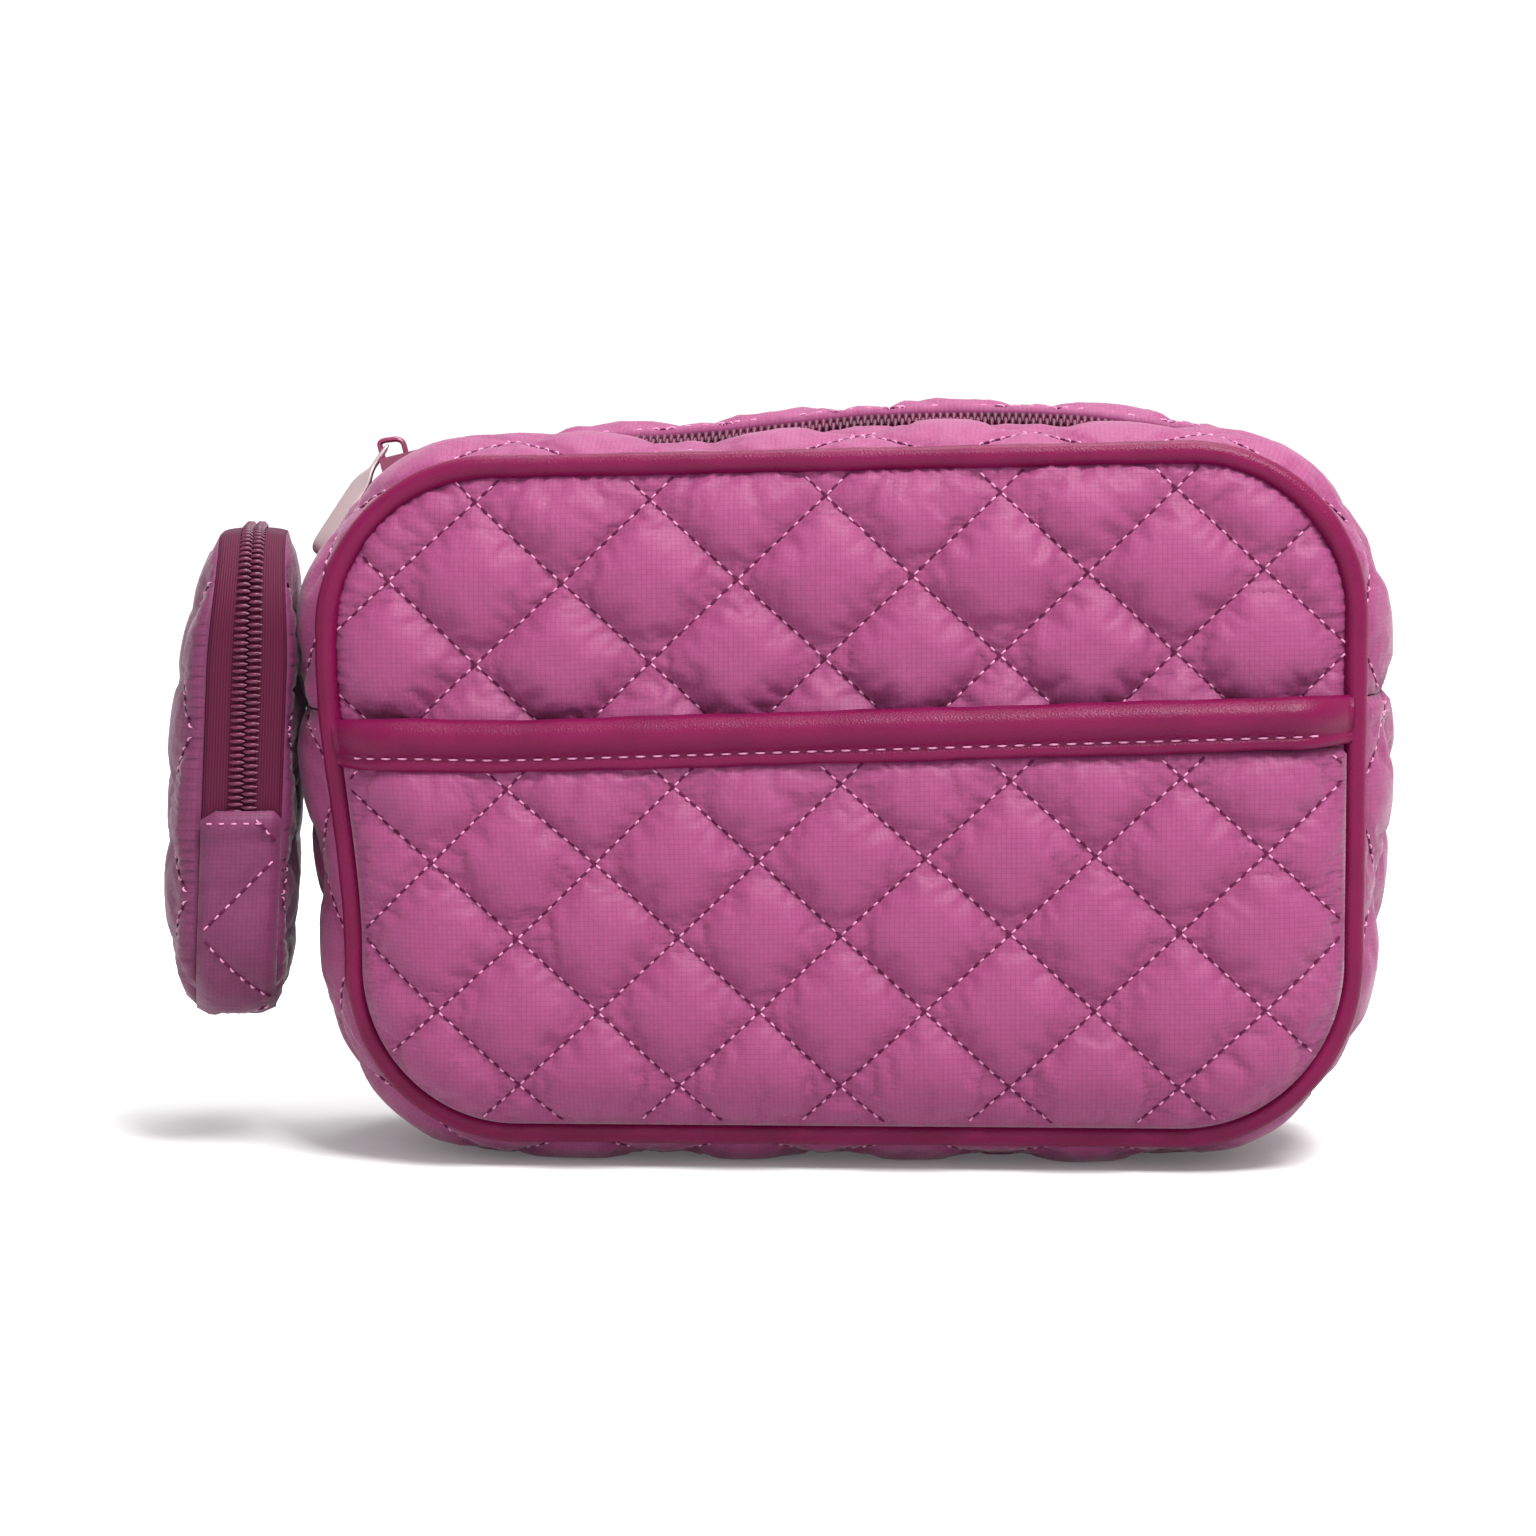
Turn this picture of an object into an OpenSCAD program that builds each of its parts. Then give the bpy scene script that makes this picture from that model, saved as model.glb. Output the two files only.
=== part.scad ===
// Quilted makeup bag with a small hanging pouch.
// Frame: +X right, +Y away from the front face, +Z up, millimetres.
// The origin is the middle of the flat bottom that the bag stands on.

/* [Bag] */
// Outer width of the bag across its side bands
bag_w = 236; // [200:1:280]
// Outer height of the bag at the middle of its domed top
bag_h = 162.5; // [140:0.5:200]
// Half the depth between the two piped seams
seam_y = 34; // [24:1:50]
// Radius of the domed top that the zip runs over
dome_r = 400; // [300:10:600]
// Radius of the top corners of the side bands
top_r = 34; // [24:1:46]
// Radius of the bottom corners of the side bands
bot_r = 44; // [30:1:60]
// Half the depth over which the side bands keep their full width
crown_y = 14; // [8:1:20]
// How far the side bands draw in from there to their seams
crown_in = 7.5; // [0:0.5:9]
// Thickness of the quilted laminate
quilt_t = 3; // [2:0.5:5]

/* [Piping] */
// Half width of the piping ring, to its middle line
pipe_w = 108; // [90:1:120]
// Height of the lowest run of the piping ring
pipe_z0 = 8; // [6:1:14]
// Height of the top run of the piping ring
pipe_z1 = 152; // [130:1:170]
// Corner radius of the piping ring
pipe_corner = 36; // [24:1:46]
// Outer radius of the piping
pipe_r = 2.9; // [2:0.1:4]
// Radius of the cord inside the piping
cord_r = 1.8; // [1:0.1:2.5]

/* [Front pocket] */
// Depth of the room inside the slip pocket
pocket_room = 6.2; // [4.5:0.1:10]
// Height of the top edge of the pocket's binding
binding_top = 98.6; // [80:0.2:105]
// Height of the binding
binding_h = 11; // [8:0.5:16]

/* [Zips] */
// Thickness of the woven tape
tape_t = 1; // [0.6:0.1:1.4]
// Width of one side of the coil
coil_w = 3; // [2:0.1:4]
// Thickness of the coil
coil_t = 2.2; // [1.6:0.1:3]
// Half the width of tape left showing between the bands
tape_gap = 5.5; // [5.2:0.1:8]
// Where the main slider rests on the dome, in degrees from the middle
slider_at = -14; // [-14:0.5:-8]
// Length of the main pull from its axle
pull_len = 28.5; // [20:0.5:30]
// How far the main pull droops below the slider's own line
pull_droop = 34; // [0:1:34]

/* [Pouch] */
// Height of the pouch
pouch_h = 103; // [80:1:120]
// Length of the pouch from front to back
pouch_l = 76; // [60:1:90]
// Thickness of the pouch across both panels
pouch_t = 21; // [20:1:30]
// How far the pouch is turned, so that its front edge leans in to the bag
pouch_turn = 9; // [0:1:16]
// Distance of the pouch's middle from the middle of the bag
pouch_out = 134.5; // [130:0.5:150]
// Height of the bottom of the pouch above the ground
pouch_z = 34; // [20:1:50]
// Corner radius of the pouch
pouch_r = 20; // [12:1:28]
// Length of the pouch pull from its axle
pouch_pull_len = 22; // [16:0.5:26]

/* [Hanger] */
// Radius of the gate ring, to the middle of its wire
ring_r = 8; // [7:0.5:12]
// Radius of the ring's wire
wire_r = 0.9; // [0.7:0.1:1.2]
// Width of the two leather tabs
tab_w = 5; // [4:0.5:6]

/* [View] */
// Which piece to draw

/* [Hidden] */
$fn = 72;
eps = 0.01;
big = 600;
half_w = bag_w / 2;
dome_z = bag_h - dome_r;
corner_x = half_w - top_r;
corner_z = dome_z + sqrt(pow(dome_r - top_r, 2) - pow(corner_x, 2));
fold_z = 99;
low_z = fold_z - 0.2;
high_z = fold_z + 0.2;
hem_top = fold_z - 0.5;
skin_y = seam_y + quilt_t;
panel_in = pipe_r + 0.1;
band_y = seam_y - pipe_r - 0.1;
pocket_y = skin_y + pocket_room;
tape_in = quilt_t + 0.1;
tape_edge = 13.8;
coil_in = quilt_t - coil_t;
pouch_x1 = pouch_t / 2;
pouch_x0 = -pouch_t / 2;
pouch_y = 6;
pouch_top = pouch_z + pouch_h;
pouch_fold = pouch_z + 45;
pouch_quilt = 2.7;
pouch_slider_z = pouch_z + 54;
ring_x = -half_w - 3.2;
ring_y = 14;
ring_z = 103.5;
strap_t = 0.7;

// ---- placing helpers ----

// A flat shape seen from the front, thick from y0 to y1.
module slab(y0, y1) {
    translate([0, y1, 0]) rotate([90, 0, 0]) linear_extrude(height = y1 - y0) children();
}

// A flat shape seen from the side, thick from x0 to x1.
module side_slab(x0, x1) {
    translate([x0, 0, 0]) rotate([90, 0, 90]) linear_extrude(height = x1 - x0) children();
}

// A rounded rectangle from x0 to x1 and from z0 to z1.
module round_rect(x0, x1, z0, z1, r) {
    translate([x0 + r, z0]) square([x1 - x0 - 2 * r, z1 - z0]);
    translate([x0, z0 + r]) square([x1 - x0, z1 - z0 - 2 * r]);
    for (x = [x0 + r, x1 - r], z = [z0 + r, z1 - r]) translate([x, z]) circle(r = r);
}

// The bag seen from the front, drawn in by t from its widest outline.
module bag_shape(t) {
    reach = corner_x * (dome_r - t) / (dome_r - top_r);
    low_x = half_w - bot_r;
    intersection() {
        translate([0, dome_z]) circle(r = dome_r - t, $fn = 360);
        translate([-reach, corner_z]) square([2 * reach, bag_h]);
    }
    translate([t - half_w, bot_r]) square([bag_w - 2 * t, corner_z - bot_r]);
    translate([-low_x, t]) square([2 * low_x, corner_z - t]);
    for (s = [-1, 1]) {
        translate([s * corner_x, corner_z]) circle(r = top_r - t);
        translate([s * low_x, bot_r]) circle(r = bot_r - t);
    }
}

// The area inside the piping, drawn in by t from the piping's middle line.
module panel_shape(t) {
    round_rect(t - pipe_w, pipe_w - t, pipe_z0 + t, pipe_z1 - t, pipe_corner - t);
}

// The pouch seen from the side, drawn in by t.
module pouch_shape(t) {
    y0 = pouch_l / 2;
    round_rect(t - y0, y0 - t, pouch_z + t, pouch_top - t, pouch_r - t);
}

// Everything below or above the height z of a flat shape.
module below(z) {
    intersection() {
        children();
        translate([-big / 2, z - big]) square([big, big]);
    }
}
module above(z) {
    intersection() {
        children();
        translate([-big / 2, z]) square([big, big]);
    }
}

// The bag filled from y0 to y1, drawn in by t, with its two sides drawn in towards the seams.
module bag_block(t, y0, y1) {
    w = half_w - t;
    intersection() {
        slab(y0, y1) children();
        translate([0, 0, -1]) linear_extrude(height = bag_h + 2) polygon([
            [w, -crown_y], [w, crown_y], [w - crown_in, band_y], [w - crown_in, band_y + 9],
            [crown_in - w, band_y + 9], [crown_in - w, band_y], [-w, crown_y], [-w, -crown_y],
            [crown_in - w, -band_y], [crown_in - w, -band_y - 9],
            [w - crown_in, -band_y - 9], [w - crown_in, -band_y]]);
    }
}

// A band from y0 to y1 between two depths of the bag, above or below a height.
module low_band(t0, t1, y0, y1, z) {
    difference() {
        bag_block(t0, y0, y1) below(z) bag_shape(t0);
        bag_block(t1, y0 - 1, y1 + 1) bag_shape(t1);
    }
}
module high_band(t0, t1, y0, y1, z) {
    difference() {
        bag_block(t0, y0, y1) above(z) bag_shape(t0);
        bag_block(t1, y0 - 1, y1 + 1) bag_shape(t1);
    }
}
module pouch_band(t0, t1) {
    difference() {
        pouch_shape(t0);
        pouch_shape(t1);
    }
}

// Moves a part to the dome, a degrees from the middle; z is then outward.
module on_dome(a) {
    translate([0, 0, dome_z]) rotate([0, a, 0]) translate([0, 0, dome_r]) children();
}

// Moves a part drawn about the pouch's own middle to where the pouch hangs.
module in_pouch() {
    translate([-pouch_out, pouch_y, 0]) rotate([0, 0, pouch_turn]) children();
}

// Moves a part to the rear run of the pouch zip; z is then outward, x is up.
module on_pouch() {
    translate([0, pouch_l / 2, pouch_slider_z]) rotate([-90, -90, 0]) children();
}

// ---- shells and seams ----

// The flat edge that a band turns in behind the piping.
module low_flange(y0, y1, z) {
    bag_block(0.5, y0, y1) below(z) difference() {
        bag_shape(0.5);
        panel_shape(0);
    }
}
module high_flange(y0, y1, z) {
    bag_block(0.5, y0, y1) above(z) difference() {
        bag_shape(0.5);
        panel_shape(0);
    }
}

// A quarter of the piping ring and its two straight runs, for one section.
module pipe_corner_run(sx, z) {
    translate([sx * (pipe_w - pipe_corner), 0, z]) rotate([90, 0, 0])
        rotate([0, 0, z > fold_z ? (sx > 0 ? 0 : 90) : (sx > 0 ? 270 : 180)])
            rotate_extrude(angle = 90) translate([pipe_corner, 0]) children();
}
module pipe_side_run(sx, z0, z1) {
    translate([sx * pipe_w, 0, z0]) linear_extrude(height = z1 - z0) children();
}
module pipe_level_run(z) {
    run = pipe_w - pipe_corner;
    translate([-run, 0, z]) rotate([0, 90, 0]) linear_extrude(height = 2 * run) children();
}
module pipe_low(z1) {
    z0 = pipe_z0 + pipe_corner;
    pipe_level_run(pipe_z0) children();
    for (s = [-1, 1]) {
        pipe_corner_run(s, z0) children();
        pipe_side_run(s, z0, z1) children();
    }
}
module pipe_high(z0) {
    z1 = pipe_z1 - pipe_corner;
    pipe_level_run(pipe_z1) children();
    for (s = [-1, 1]) {
        pipe_corner_run(s, z1) children();
        pipe_side_run(s, z0, z1) children();
    }
}
module pipe_skin() {
    difference() {
        circle(r = pipe_r, $fn = 32);
        circle(r = cord_r + 0.1, $fn = 32);
    }
}
module pipe_cord() {
    circle(r = cord_r, $fn = 32);
}

// ---- bag ----

module front_panel_lower() {
    color("#B4578F") slab(-skin_y, -seam_y) below(low_z) panel_shape(panel_in);
}
module front_panel_upper() {
    color("#B4578F") slab(-skin_y, -seam_y) above(high_z) panel_shape(panel_in);
}
module front_piping_lower() {
    color("#8E1F5B") translate([0, -seam_y, 0]) pipe_low(low_z) pipe_skin();
}
module front_piping_upper() {
    color("#8E1F5B") translate([0, -seam_y, 0]) pipe_high(high_z) pipe_skin();
}
module front_piping_cord_lower() {
    color("#E6DCDC") translate([0, -seam_y, 0]) pipe_low(low_z) pipe_cord();
}
module front_piping_cord_upper() {
    color("#E6DCDC") translate([0, -seam_y, 0]) pipe_high(high_z) pipe_cord();
}
module front_pocket() {
    t = panel_in + 0.3;
    color("#B4578F") {
        slab(-pocket_y - quilt_t, -pocket_y) below(binding_top - 3.6) panel_shape(t);
        slab(-pocket_y - eps, -skin_y - 0.1) below(binding_top - 3.6) difference() {
            panel_shape(t);
            panel_shape(t + quilt_t);
        }
    }
}
module pocket_lining() {
    color("#8C5A78") slab(-pocket_y + 0.1, -pocket_y + 0.7) below(binding_top - binding_h - 0.4)
        panel_shape(panel_in + quilt_t + 0.6);
}
module pocket_binding() {
    w = pipe_w - panel_in - 0.5;
    in = w - quilt_t - 0.3;
    z0 = binding_top - binding_h;
    color("#8E1F5B") difference() {
        union() {
            translate([-w, -pocket_y - quilt_t - 1.5, z0]) cube([2 * w, quilt_t + 1.5, binding_h]);
            translate([-in, -pocket_y - eps, z0]) cube([2 * in, 1.5 + eps, binding_h]);
        }
        translate([-w - 1, -pocket_y - quilt_t - 0.2, z0 - 1])
            cube([2 * w + 2, quilt_t + 0.4, binding_h - 2.3]);
    }
}
module back_panel() {
    color("#B4578F") slab(seam_y, skin_y) panel_shape(panel_in);
}
module back_piping() {
    color("#8E1F5B") translate([0, seam_y, 0]) {
        pipe_low(fold_z) pipe_skin();
        pipe_high(fold_z) pipe_skin();
    }
}
module back_piping_cord() {
    color("#E6DCDC") translate([0, seam_y, 0]) {
        pipe_low(fold_z) pipe_cord();
        pipe_high(fold_z) pipe_cord();
    }
}
module lower_gusset() {
    color("#A94F86") {
        low_band(0, quilt_t, -band_y, band_y, hem_top);
        low_flange(-band_y, -band_y + 2, hem_top);
        low_flange(band_y - 2, band_y, hem_top);
        for (s = [-1, 1]) translate([s * half_w - 0.4, -8, hem_top - 10]) cube([0.8, 16, 10]);
    }
}
module front_gusset_strip() {
    color("#A94F86") {
        high_band(0, quilt_t, -band_y, -tape_gap, high_z);
        high_flange(-band_y, -band_y + 2, high_z);
    }
}
module back_gusset_strip() {
    color("#A94F86") {
        high_band(0, quilt_t, tape_gap, band_y, low_z);
        high_flange(band_y - 2, band_y, low_z);
    }
}
module slider_notch() {
    on_dome(slider_at) translate([-5.4, -5.3, -7.2]) cube([11.2, 10.6, 9]);
}
module front_zip_tape() {
    color("#7C1A50") difference() {
        high_band(tape_in, tape_in + tape_t, -tape_edge, -0.25, high_z);
        slider_notch();
    }
}
module back_zip_tape() {
    color("#7C1A50") difference() {
        high_band(tape_in, tape_in + tape_t, 0.25, tape_edge, low_z);
        slider_notch();
    }
}
module front_zip_coil() {
    color("#6C1445") difference() {
        high_band(coil_in, quilt_t, -coil_w - 0.1, -0.1, high_z);
        slider_notch();
    }
}
module back_zip_coil() {
    color("#6C1445") difference() {
        high_band(coil_in, quilt_t, 0.1, coil_w + 0.1, low_z);
        slider_notch();
    }
}
module lining_front_lower() {
    color("#8C5A78") slab(-seam_y + 0.2, -seam_y + 0.8) below(low_z) panel_shape(panel_in + 1);
}
module lining_front_upper() {
    color("#8C5A78") slab(-seam_y + 0.2, -seam_y + 0.8) above(high_z) panel_shape(panel_in + 1);
}
module lining_back() {
    color("#8C5A78") slab(seam_y - 0.8, seam_y - 0.2) panel_shape(panel_in + 1);
}
module lining_lower_gusset() {
    y = band_y - 2.4;
    color("#8C5A78") low_band(quilt_t + 0.3, quilt_t + 0.9, -y, y, hem_top);
}
module lining_front_strip() {
    color("#8C5A78") high_band(quilt_t + 1.4, quilt_t + 2, -band_y + 2.4, -7, high_z);
}
module lining_back_strip() {
    color("#8C5A78") high_band(quilt_t + 1.4, quilt_t + 2, 7, band_y - 2.4, low_z);
}

// ---- slider and pull, drawn once and used on both zips ----

axle = [-3.2, 0, 3.6];

// The two plates of a slider, joined by the post that parts the coils.
module slider_body() {
    translate([-4.9, -4.6, 0.1]) cube([10.1, 9.2, 1.2]);
    for (s = [-1, 1]) translate([-4.9, s * 4.1 - 0.5, -2.4]) cube([10.1, 1, 2.6]);
    translate([-4.9, -4.2, -5.8]) cube([10.1, 8.4, 1.2]);
    translate([-4.9, -0.9, -4.7]) cube([3, 1.8, 4.9]);
}

// The arch on top of a slider that holds the pull's axle.
module slider_arch() {
    translate([-5, -0.7, 1.3]) cube([0.9, 1.4, 4.2]);
    translate([-5, -0.7, 4.5]) cube([6.6, 1.4, 1]);
    translate([0.7, -0.7, 1.3]) cube([0.9, 1.4, 4.2]);
}

// A flat pull whose forked end carries the axle under the arch.
module pull(len) {
    rotate([90, 0, 0]) cylinder(r = 0.65, h = 4, center = true);
    for (s = [-1, 1]) {
        translate([-7.5, s * 1.65 - 0.4, -0.6]) cube([7.5, 0.8, 1.2]);
        translate([0, s * 1.65 + 0.4, 0]) rotate([90, 0, 0]) cylinder(r = 0.6, h = 0.8);
    }
    translate([2.4 - len, -2.4, -0.8]) cube([len - 2.4 - 6.5, 4.8, 1.6]);
    translate([2.4 - len, 0, -0.8]) cylinder(r = 2.4, h = 1.6);
}

module main_slider() {
    color("#C9C4C6") on_dome(slider_at) slider_body();
}
module main_slider_bridge() {
    color("#8E1F5B") on_dome(slider_at) slider_arch();
}
module main_pull() {
    color("#C9AEBB") on_dome(slider_at) translate(axle) rotate([0, -pull_droop, 0]) pull(pull_len);
}

// ---- hanger ----

module strap_loop(z0, z1) {
    translate([0, ring_y + tab_w / 2, 0]) rotate([90, 0, 0]) linear_extrude(height = tab_w)
        difference() {
            round_rect(ring_x - 1.5 - strap_t, ring_x + 1.5 + strap_t,
                       z0 - strap_t, z1 + strap_t, 1);
            translate([ring_x - 1.5, z0]) square([3, z1 - z0]);
        }
}
module hanger_tab_bag() {
    top = ring_z + ring_r + 1.3;
    color("#8E1F5B") {
        strap_loop(ring_z + ring_r - 1.6, top);
        translate([ring_x + 1.6, ring_y - tab_w / 2, top - 0.5])
            cube([-half_w - ring_x - 1.6, tab_w, 9]);
    }
}
module ring_arc(a0, a1) {
    translate([ring_x, ring_y, ring_z]) rotate([0, 90, 0]) rotate([0, 0, a0])
        rotate_extrude(angle = a1 - a0) translate([ring_r, 0]) circle(r = wire_r, $fn = 24);
}
module hanger_ring() {
    color("#CFCBCC") ring_arc(130, 422);
}
module hanger_gate() {
    color("#CFCBCC") ring_arc(65, 124);
}
module hanger_tab_pouch() {
    low = ring_z - ring_r - 1.3;
    turned_y = (ring_y - pouch_y) * cos(pouch_turn) - (ring_x + pouch_out) * sin(pouch_turn);
    color("#8E1F5B") {
        strap_loop(low, ring_z - ring_r + 1.6);
        in_pouch() translate([pouch_x1, turned_y - tab_w / 2, low - 8.5]) cube([1.4, tab_w, 8.6]);
        in_pouch() translate([pouch_x1, turned_y - tab_w / 2, low - 0.7]) cube([3, tab_w, 0.8]);
    }
}

// ---- pouch ----

module pouch_inner_panel() {
    color("#A94F86") in_pouch() side_slab(pouch_x1 - pouch_quilt, pouch_x1) pouch_shape(0);
}
module pouch_outer_panel_lower() {
    color("#A94F86") in_pouch() side_slab(pouch_x0, pouch_x0 + pouch_quilt) below(pouch_fold - 0.2) pouch_shape(0);
}
module pouch_outer_panel_upper() {
    color("#A94F86") in_pouch() side_slab(pouch_x0, pouch_x0 + pouch_quilt) above(pouch_fold + 0.2) pouch_shape(0);
}
pouch_in0 = pouch_x0 + pouch_quilt + 0.2;
pouch_in1 = pouch_x1 - pouch_quilt - 0.2;
module pouch_lower_gusset() {
    color("#A94F86") in_pouch() {
        side_slab(pouch_in0, pouch_in1) below(pouch_fold - 0.4) pouch_band(0, quilt_t);
        for (s = [-1, 1]) translate([pouch_in0, s * pouch_l / 2 - 0.7, pouch_fold - 8.4])
            cube([pouch_in1 - pouch_in0, 1.4, 8]);
    }
}
module pouch_zip_tape_inner() {
    color("#7C1A50") in_pouch() difference() {
        side_slab(0.25, pouch_in1) above(pouch_fold + 0.2)
            pouch_band(tape_in, tape_in + tape_t);
        pouch_notch();
    }
}
module pouch_zip_tape_outer() {
    color("#7C1A50") in_pouch() difference() {
        side_slab(pouch_in0, -0.25) above(pouch_fold + 0.2)
            pouch_band(tape_in, tape_in + tape_t);
        pouch_notch();
    }
}
module pouch_notch() {
    on_pouch() translate([-5.4, -5.3, -7.2]) cube([11.2, 10.6, 9]);
}
module pouch_zip_coil_inner() {
    color("#6C1445") in_pouch() difference() {
        side_slab(0.1, 0.1 + coil_w) above(pouch_fold + 0.2)
            pouch_band(coil_in, quilt_t);
        pouch_notch();
    }
}
module pouch_zip_coil_outer() {
    color("#6C1445") in_pouch() difference() {
        side_slab(-0.1 - coil_w, -0.1) above(pouch_fold + 0.2)
            pouch_band(coil_in, quilt_t);
        pouch_notch();
    }
}
module pouch_lining_inner() {
    color("#8C5A78") in_pouch() side_slab(pouch_in1 - 0.7, pouch_in1 - 0.1) pouch_shape(tape_in + tape_t + 0.3);
}
module pouch_lining_outer_lower() {
    color("#8C5A78") in_pouch() side_slab(pouch_in0 + 0.1, pouch_in0 + 0.7) below(pouch_fold - 0.2)
        pouch_shape(tape_in + tape_t + 0.3);
}
module pouch_lining_outer_upper() {
    color("#8C5A78") in_pouch() side_slab(pouch_in0 + 0.1, pouch_in0 + 0.7) above(pouch_fold + 0.2)
        pouch_shape(tape_in + tape_t + 0.3);
}
module pouch_lining_gusset() {
    color("#8C5A78") in_pouch() side_slab(pouch_in0 + 0.9, pouch_in1 - 0.9) below(pouch_fold - 0.5)
        pouch_band(quilt_t + 0.3, quilt_t + 0.9);
}
module pouch_slider() {
    color("#C9C4C6") in_pouch() on_pouch() slider_body();
}
module pouch_slider_bridge() {
    color("#8E1F5B") in_pouch() on_pouch() slider_arch();
}
module pouch_pull() {
    color("#C9AEBB") in_pouch() on_pouch() translate(axle) pull(pouch_pull_len);
}

front_panel_lower();
front_panel_upper();
front_piping_lower();
front_piping_upper();
front_piping_cord_lower();
front_piping_cord_upper();
front_pocket();
pocket_lining();
pocket_binding();
back_panel();
back_piping();
back_piping_cord();
lower_gusset();
front_gusset_strip();
back_gusset_strip();
front_zip_tape();
back_zip_tape();
front_zip_coil();
back_zip_coil();
lining_front_lower();
lining_front_upper();
lining_back();
lining_lower_gusset();
lining_front_strip();
lining_back_strip();
main_slider();
main_slider_bridge();
main_pull();
hanger_tab_bag();
hanger_ring();
hanger_gate();
hanger_tab_pouch();
pouch_inner_panel();
pouch_outer_panel_lower();
pouch_outer_panel_upper();
pouch_lower_gusset();
pouch_zip_tape_inner();
pouch_zip_tape_outer();
pouch_zip_coil_inner();
pouch_zip_coil_outer();
pouch_lining_inner();
pouch_lining_outer_lower();
pouch_lining_outer_upper();
pouch_lining_gusset();
pouch_slider();
pouch_slider_bridge();
pouch_pull();
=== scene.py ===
# %% [markdown]
# # A quilted makeup bag, sewn in numpy
# The object is a soft zipped bag of quilted ripstop nylon. Its two faces are edged with leatherette
# piping, a slip pocket lies across the front, a coil zip runs over the top from side to side, and a
# small zipped pouch hangs from a ring at the left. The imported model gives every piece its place; here
# each cloth piece is cut on a flat grid, laid on the surface it is sewn to, and puffed up by a short
# cloth simulation. The hard parts keep their own shapes and get real metal finishes.

# %% Load the frame and keep its box
import math

import bpy
import numpy as np
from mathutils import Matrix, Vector


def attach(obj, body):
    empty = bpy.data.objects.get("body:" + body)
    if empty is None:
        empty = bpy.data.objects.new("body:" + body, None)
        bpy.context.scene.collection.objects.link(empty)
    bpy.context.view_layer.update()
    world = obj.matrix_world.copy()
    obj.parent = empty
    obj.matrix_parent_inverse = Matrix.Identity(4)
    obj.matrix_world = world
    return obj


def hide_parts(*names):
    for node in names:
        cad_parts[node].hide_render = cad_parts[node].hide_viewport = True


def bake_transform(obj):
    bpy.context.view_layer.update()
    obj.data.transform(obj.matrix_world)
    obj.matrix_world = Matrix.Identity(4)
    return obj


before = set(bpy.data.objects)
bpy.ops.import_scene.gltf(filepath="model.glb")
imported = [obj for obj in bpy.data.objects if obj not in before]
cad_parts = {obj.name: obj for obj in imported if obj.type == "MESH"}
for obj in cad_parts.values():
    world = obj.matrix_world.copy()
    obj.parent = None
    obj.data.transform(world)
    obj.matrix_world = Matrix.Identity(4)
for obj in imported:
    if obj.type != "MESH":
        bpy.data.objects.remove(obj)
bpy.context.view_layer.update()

# %% [markdown]
# ## Camera, floor and light
# The bag is seen almost from the front, a little from above and from its right, through a long lens.
# The floor is a plain pale sheet. White surroundings light everything softly, and one broad lamp
# above the front gives the quilting its shading. A studio would use a softbox there too.

# %% Camera
LENS = 96.0
DISTANCE = 0.9
AIM = Vector((-0.017, 0.0, 0.083))
AZIMUTH = math.radians(3.0)
ELEVATION = math.radians(4.7)

toward = Vector((
    math.sin(AZIMUTH) * math.cos(ELEVATION),
    -math.cos(AZIMUTH) * math.cos(ELEVATION),
    math.sin(ELEVATION)))
lens = bpy.data.cameras.new("camera")
lens.lens = LENS
lens.sensor_width = 36.0
camera = bpy.data.objects.new("camera", lens)
camera.location = AIM + toward * DISTANCE
camera.rotation_euler = (-toward).to_track_quat("-Z", "Y").to_euler()
bpy.context.scene.collection.objects.link(camera)
bpy.context.scene.camera = camera
print("camera at", [round(v, 4) for v in camera.location])


# %% Colour and node helpers
def paint(text):
    """An sRGB hex colour as linear red, green, blue and alpha."""
    srgb = np.array([int(text[k:k + 2], 16) for k in (1, 3, 5)]) / 255.0
    linear = np.where(srgb > 0.04045, ((srgb + 0.055) / 1.055) ** 2.4, srgb / 12.92)
    return (*[float(v) for v in linear], 1.0)


def node(tree, kind, settings=None, values=None, links=None):
    """Adds one shader node with its settings, its plain input values and its links."""
    made = tree.nodes.new(kind)
    for key, value in (settings or {}).items():
        setattr(made, key, value)
    for key, value in (values or {}).items():
        made.inputs[key].default_value = value
    for key, source in (links or {}).items():
        tree.links.new(source, made.inputs[key])
    return made


def material(name):
    """An empty node material: its tree and its Principled shader."""
    made = bpy.data.materials.new(name)
    made.use_nodes = True
    return made, made.node_tree, made.node_tree.nodes["Principled BSDF"]


# %% Surroundings, lamps and floor
KEY_POWER = 47.0
TOP_POWER = 13.0
FILL_POWER = 3.0
PALE_ALBEDO = "#CFCFCF"
scene = bpy.context.scene
scene.view_settings.view_transform = "Standard"
sky = bpy.data.worlds.new("white_room")
sky.use_nodes = True
sky.node_tree.nodes["Background"].inputs["Color"].default_value = (1.0, 1.0, 1.0, 1.0)
sky.node_tree.nodes["Background"].inputs["Strength"].default_value = 1.06
scene.world = sky


def lamp(name, place, size, power):
    """A square soft lamp that faces the middle of the bag."""
    light = bpy.data.lights.new(name, "AREA")
    light.energy = power
    light.size = size
    made = bpy.data.objects.new(name, light)
    made.location = place
    made.rotation_euler = (AIM - Vector(place)).to_track_quat("-Z", "Y").to_euler()
    scene.collection.objects.link(made)


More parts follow.
